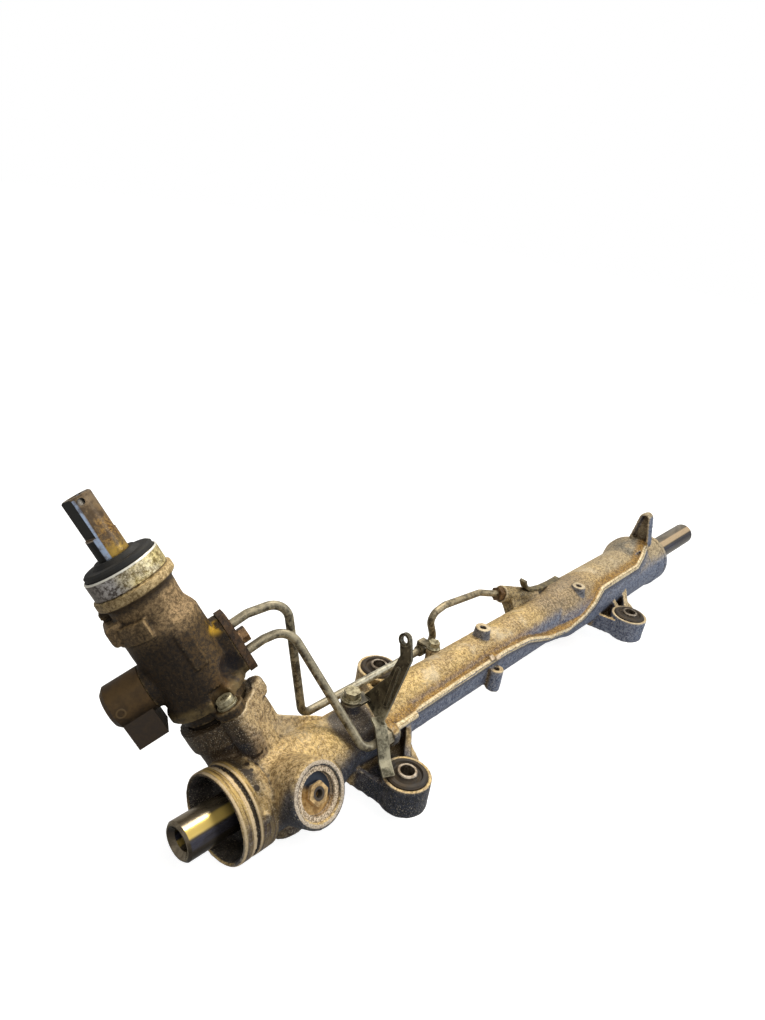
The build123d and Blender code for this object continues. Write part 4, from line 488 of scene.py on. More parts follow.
class ValveSkin(SandCast):
    """The dark casting of the valve housing, region by region."""

    def __init__(self):
        super().__init__("dark_casting", 80, 0.42, 0.60)

    def bands(self, colour):
        """Lighter above the ledge, with an ochre lip over a neck painted dark as shade."""
        upper = self.grain((0.100, 0.062, 0.026), (0.44, 0.300, 0.150))
        colour = self.mix(self.ramp(self.rise, 116, 130), colour, upper)
        lip = self.ramp(self.rise, VALVE_LIP, VALVE_LIP + 2)
        lip = self.times(lip, self.patchy(0.3, 0.6, 0.6))
        colour = self.mix(lip, colour, self.grain((0.25, 0.165, 0.060), (0.78, 0.60, 0.32)))
        # the neck below the lip is painted dark as shade
        below_lip = self.ramp(self.rise, VALVE_LIP + 1.9, VALVE_LIP + 0.5)
        neck = self.times(self.ramp(self.rise, 144, 148), below_lip, 0.85)
        return self.mix(neck, colour, (0.020, 0.012, 0.006))

    def light_and_shade(self, colour):
        """Lighter where it faces the bar and up, nearly black on the side of the solenoid."""
        lit = self.ramp(self.facing((0.85, 0.0, 0.5)), 0.1, 0.9)
        lit = self.times(lit, self.ramp(self.noise(22, 4, 0.55), 0.4, 0.65), 0.4)
        colour = self.mix(lit, colour, self.grain((0.080, 0.050, 0.018), (0.27, 0.180, 0.078)))
        turned = self.ramp(self.facing((SIDE * -0.97 + YOKE * 0.1 - PIN * 0.2).normalized()), -0.05, 0.62)
        shade = self.times(turned, self.ramp(self.rise, 150, 112, 0.45), 0.96)
        return self.mix(shade, colour, self.grain((0.004, 0.002, 0.001), (0.032, 0.019, 0.008)))

    def stains(self, colour):
        """Olive at the foot, dirt and painted shade in narrow places, a scoop painted blue-black as shade,
        a yellow stain and rust.
        """
        foot = self.times(self.ramp(self.rise, 69, 71), self.ramp(self.rise, 78, 75), 0.6)
        foot = self.times(foot, self.patchy(0.35, 0.6))
        colour = self.mix(foot, colour, (0.20, 0.145, 0.060))
        # dirt and painted shade in narrow places
        narrow = self.times(self.ramp(self.hollow(10), 0.25, 0.8), 0.92)
        colour = self.mix(narrow, colour, (0.010, 0.007, 0.004))
        # the scoop's hollow is painted blue-black as shade
        scoop = self.times(self.spot(on_pinion(66, 27, 84), 3, 12), 0.92)
        colour = self.mix(scoop, colour, (0.005, 0.007, 0.016))
        yellow = self.times(self.spot(on_pinion(48, 27, 109), 1, 8), self.patchy(0.40, 0.54))
        colour = self.mix(yellow, colour, (0.62, 0.36, 0.02))
        rust = self.times(self.spot(on_pinion(92, 27, 78), 2, 11), self.patchy(0.38, 0.6), 0.6)
        return self.mix(rust, colour, (0.13, 0.065, 0.015))

    def ridge_highlight_and_shade(self, colour):
        """Painted highlights on ridges, painted shade in creases, and dark and light grains."""
        # painted highlights on ridges
        ridge = self.times(self.edge(0.520, 0.58), self.patchy(0.35, 0.55, 0.15, 0.6))
        colour = self.mix(ridge, colour, (0.36, 0.26, 0.13))
        # painted shade in creases
        colour = self.mix(self.times(self.edge(0.488, 0.45), 0.8), colour, (0.010, 0.006, 0.003))
        colour = self.mix(self.ramp(self.pepper, 0.60, 0.70, 0, 0.6), colour, (0.012, 0.008, 0.004))
        return self.mix(self.ramp(self.pepper, 0.38, 0.28, 0, 0.5), colour, (0.27, 0.20, 0.12))


def dark_casting():
    g = ValveSkin()
    base = g.grain((0.018, 0.010, 0.003), (0.098, 0.057, 0.019))
    colour = g.paint(base, (g.bands, g.light_and_shade, g.stains, g.ridge_highlight_and_shade))
    g.bump(g.mottle, 0.4, 0.6)
    g.bump(g.sand, 0.30, 0.8)
    return g.done(colour, g.ramp(g.sand, 0.3, 0.7, 0.44, 0.70), 0.15, 0.28)


def shaft_steel():
    """Dark ground steel: a black flat, a bluish sheen beside it, and rust towards the foot."""
    g = Graph("input_shaft_steel")
    mottle, fine = g.noise(150, 7, 0.72), g.noise(700, 5, 0.7)
    rise = g.height(PIN, FOOT)
    colour = g.mix(g.ramp(mottle, 0.38, 0.62), (0.095, 0.060, 0.030), (0.270, 0.190, 0.108))
    rust = g.mix(g.ramp(fine, 0.4, 0.6), (0.10, 0.045, 0.010), (0.44, 0.250, 0.060))
    colour = g.mix(g.times(g.ramp(rise, 212, 190), g.ramp(mottle, 0.42, 0.56)), colour, rust)
    foot = g.times(g.ramp(rise, 187, 178), g.ramp(mottle, 0.35, 0.55), 0.8)
    colour = g.mix(foot, colour, (0.52, 0.33, 0.055))
    black = g.ramp(g.facing(round_pinion(197)), 0.55, 0.68)
    colour = g.mix(black, colour, (0.009, 0.009, 0.008))
    sheen = g.times(g.ramp(g.facing(round_pinion(137)), 0.975, 0.992), g.ramp(mottle, 0.36, 0.56, 0.25))
    colour = g.mix(sheen, colour, (0.52, 0.66, 0.92))
    tip = g.times(g.ramp(rise, SHAFT_TOP - 1.1, SHAFT_TOP), g.ramp(g.facing(PIN), 0.9, 0.5), 0.85)
    colour = g.mix(tip, colour, (0.88, 0.74, 0.44))
    step = g.times(g.within(rise, *SHAFT_STEP, 0.35), black, 0.8)
    colour = g.mix(step, colour, (0.40, 0.33, 0.26))
    # dirt and painted shade in narrow places
    colour = g.mix(g.times(g.ramp(g.hollow(3), 0.35, 0.7), 0.95), colour, (0.006, 0.006, 0.007))
    colour = g.mix(g.ramp(fine, 0.60, 0.70, 0, 0.5), colour, (0.05, 0.03, 0.015))
    g.bump(mottle, 0.08, 0.4)
    return g.done(colour, g.ramp(black, 0.0, 1.0, 0.34, 0.6), 0.45)


def bar_steel():
    """The ground bar: dark, with a warm painted band of light along its upper side, a painted blue
    reflection and painted shade on its lower near side.
    """
    g = Graph("polished_bar")
    stains = g.noise(60, 6, 0.7, 0.5, g.along(X * 0.30, YOKE, UP))
    colour = g.mix(g.ramp(stains, 0.36, 0.64), (0.085, 0.066, 0.042), (0.30, 0.245, 0.165))
    # painted shade on the lower near side
    dark = g.times(g.ramp(g.facing((0, -0.90, -0.42)), 0.05, 0.62), 0.92)
    colour = g.mix(dark, colour, (0.026, 0.020, 0.014))
    # a painted blue reflection
    blue = g.times(g.ramp(g.facing((0, -0.90, 0.43)), 0.955, 0.985), g.ramp(stains, 0.4, 0.6, 0.3, 0.9))
    colour = g.mix(blue, colour, (0.075, 0.078, 0.115))
    band = g.ramp(g.facing((0, -0.50, 0.865)), 0.945, 0.985)
    band = g.times(band, g.ramp(stains, 0.30, 0.50, 0.45, 0.95))
    gold = g.mix(g.ramp(g.height(X, ORIGIN), 60, 300), (1.0, 0.73, 0.20), (0.82, 0.60, 0.36))
    colour = g.mix(band, colour, gold)
    near_end = g.times(g.ramp(g.facing(X), -0.8, -0.95), 0.7)
    colour = g.mix(near_end, colour, (0.20, 0.165, 0.095))
    return g.done(colour, g.ramp(stains, 0.3, 0.7, 0.30, 0.18), 0.7)


def machined(name, base, dark, rough=0.42, scale=240, metallic=0.85):
    g = Graph(name)
    mottle, grain = g.noise(scale, 6, 0.7), g.noise(1400, 3, 0.6)
    colour = g.mix(g.ramp(mottle, 0.36, 0.66), dark, base)
    # dirt and painted shade in narrow places
    colour = g.mix(g.times(g.ramp(g.hollow(3), 0.4, 0.9), 0.8), colour, tuple(c * 0.25 for c in dark))
    g.bump(grain, 0.08, 0.5)
    return g.done(colour, g.ramp(mottle, 0.3, 0.7, rough - 0.08, rough + 0.14), metallic)


def plated():
    """The ring: grey with dark specks, yellow on its right, painted dark brown shade on its left, and a
    bright edge.
    """
    g = Graph("plated_ring")
    mottle, big = g.noise(380, 7, 0.76), g.noise(60, 5, 0.6)
    speck = g.ramp(mottle, 0.41, 0.59)
    colour = g.mix(speck, (0.085, 0.072, 0.066), (0.52, 0.50, 0.49))
    right = g.times(g.ramp(g.facing(round_pinion(72)), 0.35, 0.85), g.ramp(big, 0.35, 0.55, 0.5))
    colour = g.mix(right, colour, g.mix(speck, (0.24, 0.17, 0.045), (0.88, 0.74, 0.36)))
    # painted shade on the left side
    left = g.times(g.ramp(g.facing(round_pinion(215)), 0.30, 0.90), 0.85)
    colour = g.mix(left, colour, g.mix(speck, (0.016, 0.011, 0.008), (0.10, 0.075, 0.052)))
    bright = g.times(g.ramp(g.height(PIN, FOOT), RING_EDGE - 0.4, RING_EDGE + 0.3), 0.9)
    colour = g.mix(bright, colour, (0.96, 0.93, 0.82))
    g.bump(mottle, 0.12, 0.6)
    return g.done(colour, g.ramp(mottle, 0.3, 0.7, 0.30, 0.55), 0.6)


def rubber(name, base, dust, amount):
    g = Graph(name)
    mottle, grain = g.noise(160, 6, 0.7), g.noise(1200, 3, 0.6)
    up = g.ramp(g.facing(Z), 0.1, 0.9)
    colour = g.mix(g.times(g.ramp(mottle, 0.42, 0.68), amount), base, dust)
    colour = g.mix(g.times(up, g.ramp(g.noise(70, 5, 0.6), 0.4, 0.7), amount * 0.6), colour, dust)
    g.bump(mottle, 0.2, 0.4)
    g.bump(grain, 0.06, 0.5)
    return g.done(colour, g.ramp(mottle, 0.3, 0.7, 0.55, 0.8), 0.0, 0.35)


def pipe_steel():
    """Dull steel, paler on top, warmer on the far pipe and worn where the pipe passes the bracket."""
    g = Graph("pipe_steel")
    mottle, fine = g.noise(210, 8, 0.75), g.noise(900, 4, 0.7)
    colour = g.mix(g.ramp(mottle, 0.40, 0.60), (0.050, 0.040, 0.024), (0.34, 0.295, 0.195))
    up = g.times(g.ramp(g.facing((-0.1, -0.1, 1)), 0.2, 0.9), 0.45)
    colour = g.mix(up, colour, (0.42, 0.37, 0.26))
    warm = g.mix(g.ramp(mottle, 0.40, 0.60), (0.110, 0.080, 0.040), (0.44, 0.345, 0.195))
    colour = g.mix(g.times(g.ramp(g.height(X, ORIGIN), 225, 270), 0.6), colour, warm)
    worn = g.times(g.spot(mm(192, 26, 15), 10, 40), g.ramp(mottle, 0.35, 0.55), 0.7)
    colour = g.mix(worn, colour, (0.56, 0.55, 0.45))
    colour = g.mix(g.ramp(fine, 0.60, 0.72, 0, 0.7), colour, (0.04, 0.03, 0.02))
    g.bump(mottle, 0.12, 0.6)
    return g.done(colour, g.ramp(mottle, 0.3, 0.7, 0.38, 0.62), 0.55)


def rusty_plate():
    g = Graph("rusty_plate")
    mottle, fine = g.noise(240, 8, 0.75), g.noise(900, 4, 0.7)
    colour = g.mix(g.ramp(mottle, 0.38, 0.62), (0.022, 0.012, 0.006), (0.115, 0.064, 0.030))
    colour = g.mix(g.ramp(fine, 0.60, 0.70, 0, 0.6), colour, (0.34, 0.26, 0.16))
    g.bump(mottle, 0.3, 0.7)
    return g.done(colour, g.ramp(mottle, 0.3, 0.7, 0.5, 0.75), 0.35)


def bolt_steel(name, base, dark):
    g = Graph(name)
    mottle = g.noise(330, 6, 0.7)
    colour = g.mix(g.ramp(mottle, 0.36, 0.62), dark, base)
    # dirt and painted shade in narrow places
    colour = g.mix(g.times(g.ramp(g.hollow(3), 0.28, 0.7), 0.92), colour, (0.030, 0.020, 0.010))
    colour = g.mix(g.times(g.worn(0.5), 0.7), colour, tuple(min(1.0, 2.0 * c) for c in base))
    g.bump(mottle, 0.1, 0.5)
    return g.done(colour, g.ramp(mottle, 0.3, 0.7, 0.32, 0.55), 0.6)


def black_steel():
    """The bracket: nearly black, pale on the strap at its foot and on its worn edges."""
    g = Graph("black_steel")
    mottle, streak = g.noise(150, 7, 0.72), g.noise(520, 5, 0.7, 0, g.stretch(1, 1, 0.25))
    colour = g.mix(g.ramp(mottle, 0.38, 0.62), (0.018, 0.015, 0.009), (0.100, 0.083, 0.050))
    pale = g.mix(g.ramp(mottle, 0.36, 0.60), (0.085, 0.075, 0.045), (0.46, 0.42, 0.29))
    colour = g.mix(g.times(g.ramp(g.height(UP, ORIGIN), 24, 14), 0.9), colour, pale)
    colour = g.mix(g.ramp(streak, 0.58, 0.70, 0, 0.7), colour, (0.34, 0.30, 0.20))
    colour = g.mix(g.times(g.worn(0.7), 0.75), colour, (0.46, 0.42, 0.30))
    g.bump(mottle, 0.15, 0.5)
    return g.done(colour, g.ramp(mottle, 0.3, 0.7, 0.32, 0.55), 0.35)


def solenoid_paint():
    """Brown paint, with painted light on top and painted shade below, and a small pressed ring near the
    end.
    """
    g = Graph("solenoid_paint")
    mottle, grain = g.noise(120, 8, 0.7), g.noise(900, 4, 0.7)
    colour = g.mix(g.ramp(mottle, 0.38, 0.62), (0.026, 0.013, 0.004), (0.090, 0.052, 0.018))
    # painted light on what faces up
    up = g.times(g.ramp(g.facing((-0.2, -0.2, 0.95)), 0.0, 0.9), 0.4)
    colour = g.mix(up, colour, (0.125, 0.078, 0.032))
    # painted shade on what faces down
    down = g.times(g.ramp(g.facing((0.1, -0.3, -0.95)), 0.0, 0.7), 0.8)
    colour = g.mix(down, colour, (0.012, 0.008, 0.004))
    colour = g.mix(g.ramp(grain, 0.62, 0.74, 0, 0.5), colour, (0.17, 0.13, 0.075))
    ring = g.times(g.spot(SOLENOID_MARK, 2.9, 3.4), g.but(g.spot(SOLENOID_MARK, 1.9, 2.4)))
    colour = g.mix(g.times(ring, 0.6), colour, (0.16, 0.105, 0.045))
    g.bump(mottle, 0.2, 0.5)
    g.bump(ring, 0.2, 0.8)
    return g.done(colour, g.ramp(mottle, 0.3, 0.7, 0.42, 0.66), 0.1, 0.25)


def yoke_plug_mat():
    """A pale stippled ring, a hollow whose upper side is painted dark blue as shadow, and an ochre hub."""
    g = Graph("yoke_plug")
    mottle, grain = g.noise(200, 7, 0.72), g.noise(1000, 4, 0.7)
    centre = YOKE_AT + YOKE * 0.045
    rise = g.height(YOKE, ORIGIN)
    colour = g.mix(g.ramp(grain, 0.42, 0.57), (0.22, 0.155, 0.095), (0.80, 0.66, 0.48))
    floor = g.times(g.spot(centre, 12.7, 13.3), g.ramp(rise, 44.0, 43.0))
    # the upper side of the hollow's floor is painted dark blue as shadow
    upper = g.ramp(g.height(UP * 0.8 + X * 0.6, centre), -1.5, 3.5)
    stain = g.mix(g.ramp(mottle, 0.38, 0.62), (0.28, 0.155, 0.045), (0.66, 0.45, 0.19))
    colour = g.mix(floor, colour, g.mix(upper, stain, (0.030, 0.040, 0.062)))
    hub = g.times(g.spot(centre, 7.6, 8.2), g.ramp(rise, 43.5, 44.5), 0.95)
    colour = g.mix(hub, colour, g.mix(g.ramp(mottle, 0.36, 0.60), (0.22, 0.125, 0.040), (0.72, 0.50, 0.23)))
    colour = g.mix(g.times(g.spot(centre, 4.0, 4.6), 0.9), colour, (0.022, 0.022, 0.026))
    # dirt and painted shade in narrow places
    colour = g.mix(g.times(g.ramp(g.hollow(3), 0.35, 0.8), 0.7), colour, (0.03, 0.022, 0.015))
    g.bump(mottle, 0.25, 0.6)
    g.bump(grain, 0.15, 0.6)
    return g.done(colour, g.ramp(mottle, 0.3, 0.7, 0.5, 0.75), 0.25)


MATS = {
    "cast": cast_aluminium(),
    "dark": dark_casting(),
    "bar": bar_steel(),
    "shaft": shaft_steel(),
    "machined": machined("machined_steel", (0.52, 0.50, 0.46), (0.26, 0.23, 0.19)),
    "plated": plated(),
    "black_rubber": rubber("black_rubber", (0.011, 0.011, 0.011), (0.060, 0.054, 0.042), 0.35),
    "brown_rubber": rubber("brown_rubber", (0.022, 0.017, 0.013), (0.105, 0.072, 0.038), 0.5),
    "pipe": pipe_steel(),
    "plate": rusty_plate(),
    "bolt": bolt_steel("bolt_steel", (0.40, 0.36, 0.235), (0.13, 0.105, 0.055)),
    "rusty_bolt": bolt_steel("rusty_bolt", (0.20, 0.12, 0.055), (0.065, 0.034, 0.014)),
    "sleeve": machined("sleeve_steel", (0.36, 0.31, 0.25), (0.12, 0.09, 0.06)),
    "bracket": black_steel(),
    "bronze": machined("bronze", (0.52, 0.36, 0.16), (0.28, 0.18, 0.07), 0.35),
    "plastic": rubber("slide_plastic", (0.24, 0.23, 0.21), (0.34, 0.32, 0.28), 0.4),
    "connector": rubber("connector_plastic", (0.030, 0.020, 0.013), (0.07, 0.048, 0.028), 0.5),
    "solenoid": solenoid_paint(),
    "plug": yoke_plug_mat(),
    "clip": machined("clip_steel", (0.74, 0.60, 0.44), (0.34, 0.24, 0.13), 0.5, metallic=0.2),
    "strip": machined("old_strip", (0.20, 0.160, 0.080), (0.050, 0.038, 0.018), 0.6, metallic=0.1),
    "cap": machined("cap_steel", (0.10, 0.10, 0.105), (0.035, 0.035, 0.04), 0.5, 180, 0.4),
}
LOOK = {
    "rack_bar": "bar",
    "input_shaft": "shaft",
    "cover_ring": "plated",
    "dust_disc": "black_rubber",
    "rack_housing": "cast",
    "support_yoke": "cast",
    "valve_housing": "dark",
    "valve_housing_screws": "bolt",
    "assist_solenoid": "solenoid",
    "solenoid_connector": "connector",
    "yoke_plug": "plug",
    "yoke_liner": "plastic",
    "pipe_1": "pipe",
    "pipe_2": "pipe",
    "pipe_1_nut": "rusty_bolt",
    "pipe_2_nut": "pipe",
    "pipe_plate": "plate",
    "plate_bolt": "rusty_bolt",
    "pipe_clip": "pipe",
    "clip_bolt": "bolt",
    "bracket": "bracket",
    "bracket_bolt": "bolt",
    "lower_cap": "cap",
    "end_bush": "bronze",
    "pinion_bush": "bronze",
    "sleeve_rings": "plastic",
    "piston_ring": "plastic",
}


def look_of(node):
    if node in LOOK:
        return LOOK[node]
    if node.endswith("_bush_rubber"):
        return "brown_rubber"
    if node.endswith("_bush_sleeve"):
        return "sleeve"
    if "seal" in node or node in ("spigot_ring", "yoke_ring"):
        return "black_rubber"
    return "machined"


for node, obj in NODES.items():
    obj.data.materials.clear()
    obj.data.materials.append(MATS[look_of(node)])


# -------- castings: the CAD solids with their corners run together
def evaluated(obj):
    graph = bpy.context.evaluated_depsgraph_get()
    return bpy.data.meshes.new_from_object(obj.evaluated_get(graph))


def placed(name, data):
    """A new object in the scene."""
    obj = bpy.data.objects.new(name, data)
    bpy.context.scene.collection.objects.link(obj)
    return obj


def add(name, mesh, material, body, *replaced):
    """A new piece on a body, in the place of the CAD nodes that it replaces."""
    obj = placed(name, mesh)
    mesh.materials.clear()
    mesh.materials.append(MATS[material])
    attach(obj, body)
    if replaced:
        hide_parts(*replaced)


def vectors_of(mesh, what="co"):
    values = np.empty(len(mesh.vertices) * 3)
    mesh.vertices.foreach_get(what, values)
    return values.reshape(-1, 3)


def move_to(mesh, co):
    mesh.vertices.foreach_set("co", co.ravel())
    mesh.update()


def soften(mesh, rounds, weight):
    """Low-pass smoothing that keeps the volume; weight says how far each vertex may follow."""
    co = vectors_of(mesh)
    count = len(co)
    edges = np.empty(len(mesh.edges) * 2, np.int64)
    mesh.edges.foreach_get("vertices", edges)
    a, b = edges.reshape(-1, 2).T
    degree = np.bincount(a, minlength=count) + np.bincount(b, minlength=count)
    degree = np.maximum(degree, 1)[:, None]
    w = weight(co)[:, None]
    for _ in range(rounds):
        for step in (0.52, -0.54):
            total = np.stack([np.bincount(a, co[b, k], count) + np.bincount(b, co[a, k], count)
                              for k in range(3)], axis=1)
            co = co + w * step * (total / degree - co)
    move_to(mesh, co)
    return co


def lumps(mesh, co, weight):
    """A slight unevenness of the cast skin."""
    normals = vectors_of(mesh, "normal")
    push = np.array([noise.fractal(Vector(c) * LUMP_SCALE, 1.0, 2.1, 3) for c in co])
    move_to(mesh, co + normals * (push * LUMP_HEIGHT * weight(co))[:, None])


def stud(centre, axis, radius, length):
    """A short round boss as a closed mesh, to be run into a casting; it starts at centre."""
    bm = bmesh.new()
    turn = axis.to_track_quat("Z", "Y").to_matrix().to_4x4()
    bmesh.ops.create_cone(bm, cap_ends=True, segments=32, radius1=radius, radius2=radius, depth=length,
                          matrix=Matrix.Translation(centre + axis * (length / 2)) @ turn)
    return bm


def blank(name, nodes, extras):
    """One mesh of some CAD nodes and some extra closed meshes."""
    bm = bmesh.new()
    for node in nodes:
        bm.from_mesh(NODES[node].data)
    for extra in extras:
        spare = bpy.data.meshes.new("spare")
        extra.to_mesh(spare)
        extra.free()
        bm.from_mesh(spare)
        bpy.data.meshes.remove(spare)
    return mesh_from(bm, name)


def mesh_from(bm, name):
    mesh = bpy.data.meshes.new(name)
    bm.to_mesh(mesh)
    bm.free()
    return mesh


def shell_of(start, left):
    """All vertices joined to one by edges; they are taken out of left."""
    stack = [start]
    shell = {start}
    while stack:
        for edge in stack.pop().link_edges:
            for v in edge.verts:
                if v in left:
                    left.remove(v)
                    shell.add(v)
                    stack.append(v)
    return shell


def largest_part(mesh):
    """Keeps the outer skin and drops the pockets that a remesh leaves between two solids that touch."""
    bm = bmesh.new()
    bm.from_mesh(mesh)
    left = set(bm.verts)
    shells = []
    while left:
        shells.append(shell_of(left.pop(), left))
    keep = max(shells, key=len)
    bmesh.ops.delete(bm, geom=[v for v in bm.verts if v not in keep], context="VERTS")
    bm.to_mesh(mesh)
    bm.free()


def remeshed(source, voxel):
    """The outer skin of an object, in voxels of one size."""
    remesh = source.modifiers.new("remesh", "REMESH")
    remesh.mode = "VOXEL"
    remesh.voxel_size = voxel
    mesh = evaluated(source)
    largest_part(mesh)
    source.modifiers.clear()
    return mesh


def thinned(source, mesh, ratio):
    source.data = mesh
    thin = source.modifiers.new("thin", "DECIMATE")
    thin.ratio = ratio
    thin.use_collapse_triangulate = True
    return evaluated(source)


def as_cast(name, nodes, material, weight, voxel, rounds, extras=(), dents=(), rimmed=False):
    """One skin over the solids of a casting: its edges run together, its surface slightly uneven."""
    source = placed(name + "_blank", blank(name, nodes, extras))
    mesh = remeshed(source, voxel)
    co = soften(mesh, rounds, weight)
    if rimmed:
        co = press_port(co)
    for place, direction, radius, depth in dents:
        co = dent(mesh, co, place, direction, radius, depth)
    lumps(mesh, co, weight)
    final = thinned(source, mesh, SKIN_KEPT)
    bpy.data.objects.remove(source)
    if rimmed:
        mark_rim(final)
    for poly in final.polygons:
        poly.use_smooth = True
    add(name, final, material, "housing", *nodes)


def dent(mesh, co, centre, direction, radius, depth):
    """Presses a round hollow into the skin."""
    d = np.linalg.norm(co - np.array(centre), axis=1) / radius
    push = depth * np.clip(1 - d * d, 0, 1) ** 1.2
    co = co + push[:, None] * np.array(direction)
    move_to(mesh, co)
    return co


def from_rim(co):
    """Distance of each vertex from the rim's crest in mm, and whether it lies above the crest."""
    line = np.array(RIM) / 1000
    best = np.full(len(co), 1e9)
    above = np.zeros(len(co), bool)
    for a, b in zip(line[:-1], line[1:]):
        t = np.clip((co - a) @ (b - a) / ((b - a) @ (b - a)), 0, 1)
        near = a + t[:, None] * (b - a)
        off = co - near
        dist = np.linalg.norm(off, axis=1) * 1000
        closer = dist < best
        best = np.where(closer, dist, best)
        over = off[:, 1] * near[:, 2] - off[:, 2] * near[:, 1] > 0
        above = np.where(closer, over, above)
    return best, above


def mark_rim(mesh):
    """Writes how close each vertex is to the rim, for the dirt above it and the painted shade below it."""
    dist, above = from_rim(vectors_of(mesh))
    close = np.clip(RIM_SPREAD - dist, 0, None)
    for name, values in (("over_rim", close * above), ("under_rim", close * ~above)):
        layer = mesh.attributes.new(name, "FLOAT", "POINT")
        layer.data.foreach_set("value", values.astype(np.float32))


def press_port(co):
    """The inner port's boss sinks into the rim behind its mouth."""
    centre = np.array(mm(0, *INNER_PORT))
    off = co - centre
    dist = np.linalg.norm(off[:, 1:], axis=1) * 1000
    x = co[:, 0] * 1000
    along = np.clip((x - PRESS_FROM) / 7, 0, 1) * np.clip((PRESS_TO - x) / 5, 0, 1)
    near = np.clip((PRESS_REACH - dist) / 3.5, 0, 1)
    out = co.copy()
    out[:, 1:] = centre[1:] + off[:, 1:] * (1 - PRESS_SHARE * along * near)[:, None]
    out[:, 1] += PRESS_INWARD * along * near
    return out


def away(co, origin, axis):
    """Distance of each vertex from a line, and its height along it, both in mm."""
    d = co - np.array(origin)
    h = d @ np.array(axis)
    return np.linalg.norm(d - h[:, None] * np.array(axis), axis=1) * 1000, h * 1000


def housing_weight(co):
    """Machined places stay crisp: collar, bores, bolt seats, and in part the rim."""
    w = np.ones(len(co))
    dist, _ = from_rim(co)
    w[dist < 9] = 0.22
    w[(dist < 14) & (co[:, 0] > 0.176) & (co[:, 0] < 0.200)] = 1.0
    r, h = away(co, ORIGIN, X)
    w[(h < COLLAR_BACK + 2) & (r < 32)] = 0.06
    w[(h > FAR_COLLAR)] = 0.1
    w[(r < 21) & (h < 45)] = 0.05
    r, h = away(co, YOKE_AT, YOKE)
    w[(h > 34) & (r < 21.5)] = 0.12
    r, h = away(co, FOOT, PIN)
    w[(h > 54) & (r < 27)] = 0.12
    for x, y in BUSHES:
        r, h = away(co, (x / 1000, y / 1000, 0), Z)
        w[(r < 15.4) | ((r < 18) & (h > -6))] = 0.1
    for x, y in (*TUBE_POSTS, NEAR_POST):
        r, h = away(co, (x / 1000, y / 1000, 0), Z)
        w[(r < 7.2) & (h > 3)] = 0.2
    return w


def valve_weight(co):
    """The lip, the bore and the foot stay crisp."""
    w = np.full(len(co), 0.8)
    r, h = away(co, FOOT, PIN)
    w[(h > VALVE_LIP - 0.5)] = 0.12
    w[(r < 20.5)] = 0.1
    w[(h < 78)] = 0.3
    return w


CASTING = ("rack_housing", "near_ear", "far_ear", "rear_ear", "cast_posts")
FAR_COLLAR = 612.0  # where the far collar starts along the bar, in mm
LUMP_SCALE, LUMP_HEIGHT = 170.0, 0.00018
SKIN_KEPT = 0.45  # share of a skin's faces that is kept
PRESS_FROM, PRESS_TO, PRESS_REACH = 154.0, 187.0, 11.5  # mm
PRESS_SHARE, PRESS_INWARD = 0.62, 0.0018
COLLAR_STUD = stud(mm(43.5, -22.5, 11.0), Vector((-0.45, -0.80, 0.40)).normalized(), 0.0032, 0.0058)
TOWER_STUD = stud(on_pinion(84, 22, 40), (YOKE * 0.95 + SIDE * 0.3).normalized(), 0.0024, 0.0042)
NECK_STUD = stud(on_pinion(222, 20, 147), (SIDE * -0.74 - YOKE * 0.67).normalized(), 0.0030, 0.0075)
SCOOP_INWARD = (on_pinion(0, 0, SCOOP_HEIGHT) - SCOOP).normalized()
as_cast("rack_housing_cast", CASTING, "cast", housing_weight, voxel=0.0010, rounds=5,
        extras=(COLLAR_STUD, TOWER_STUD), rimmed=True)
as_cast("valve_housing_cast", ("valve_housing",), "dark", valve_weight, voxel=0.0009, rounds=4,
        extras=(NECK_STUD,), dents=((SCOOP, SCOOP_INWARD, 0.0100, 0.0050),))


# -------- small fittings that the solids leave to the scene
def slab(name, centre, along, across, size, material):
    """A small bevelled plate; size holds its length, width and thickness in mm."""
    along = along.normalized()
    up = along.cross(across).normalized()
    turn = Matrix((along, up.cross(along), up)).transposed().to_4x4()
    bm = bmesh.new()
    bmesh.ops.create_cube(bm, size=1.0)
    bmesh.ops.scale(bm, vec=mm(*size), verts=bm.verts)
    bmesh.ops.bevel(bm, geom=bm.edges[:], offset=min(size) * 0.22 / 1000, segments=2, affect="EDGES")
    bmesh.ops.transform(bm, matrix=Matrix.Translation(centre) @ turn, verts=bm.verts)
    add(name, mesh_from(bm, name), material, "housing")


def strip_ring(bm, route, k, y, width, thickness):
    """The four corners of a strip at one point of its route, square to the run there."""
    x, z = route[k]
    run = Vector(route[min(k + 1, len(route) - 1)]) - Vector(route[max(k - 1, 0)])
    run.normalize()
    normal = Vector((-run.y, run.x)) * (thickness / 2)
    return [bm.verts.new(mm(x + face * normal.x, y + side * width / 2, z + face * normal.y))
            for side, face in ((-1, -1), (1, -1), (1, 1), (-1, 1))]


def bent_strip(name, y, route, width, thickness, material):
    """A flat strip with its width along Y, bent through points (x, z) at one y, in mm."""
    bm = bmesh.new()
    rings = [strip_ring(bm, route, k, y, width, thickness) for k in range(len(route))]
    for a, b in zip(rings[:-1], rings[1:]):
        for k in range(4):
            bm.faces.new((a[k], a[(k + 1) % 4], b[(k + 1) % 4], b[k]))
    bm.faces.new(rings[0][::-1])
    bm.faces.new(rings[-1])
    bmesh.ops.recalc_face_normals(bm, faces=bm.faces)
    bmesh.ops.bevel(bm, geom=bm.edges[:], offset=thickness * 0.15 / 1000, segments=1, affect="EDGES")
    add(name, mesh_from(bm, name), material, "housing")


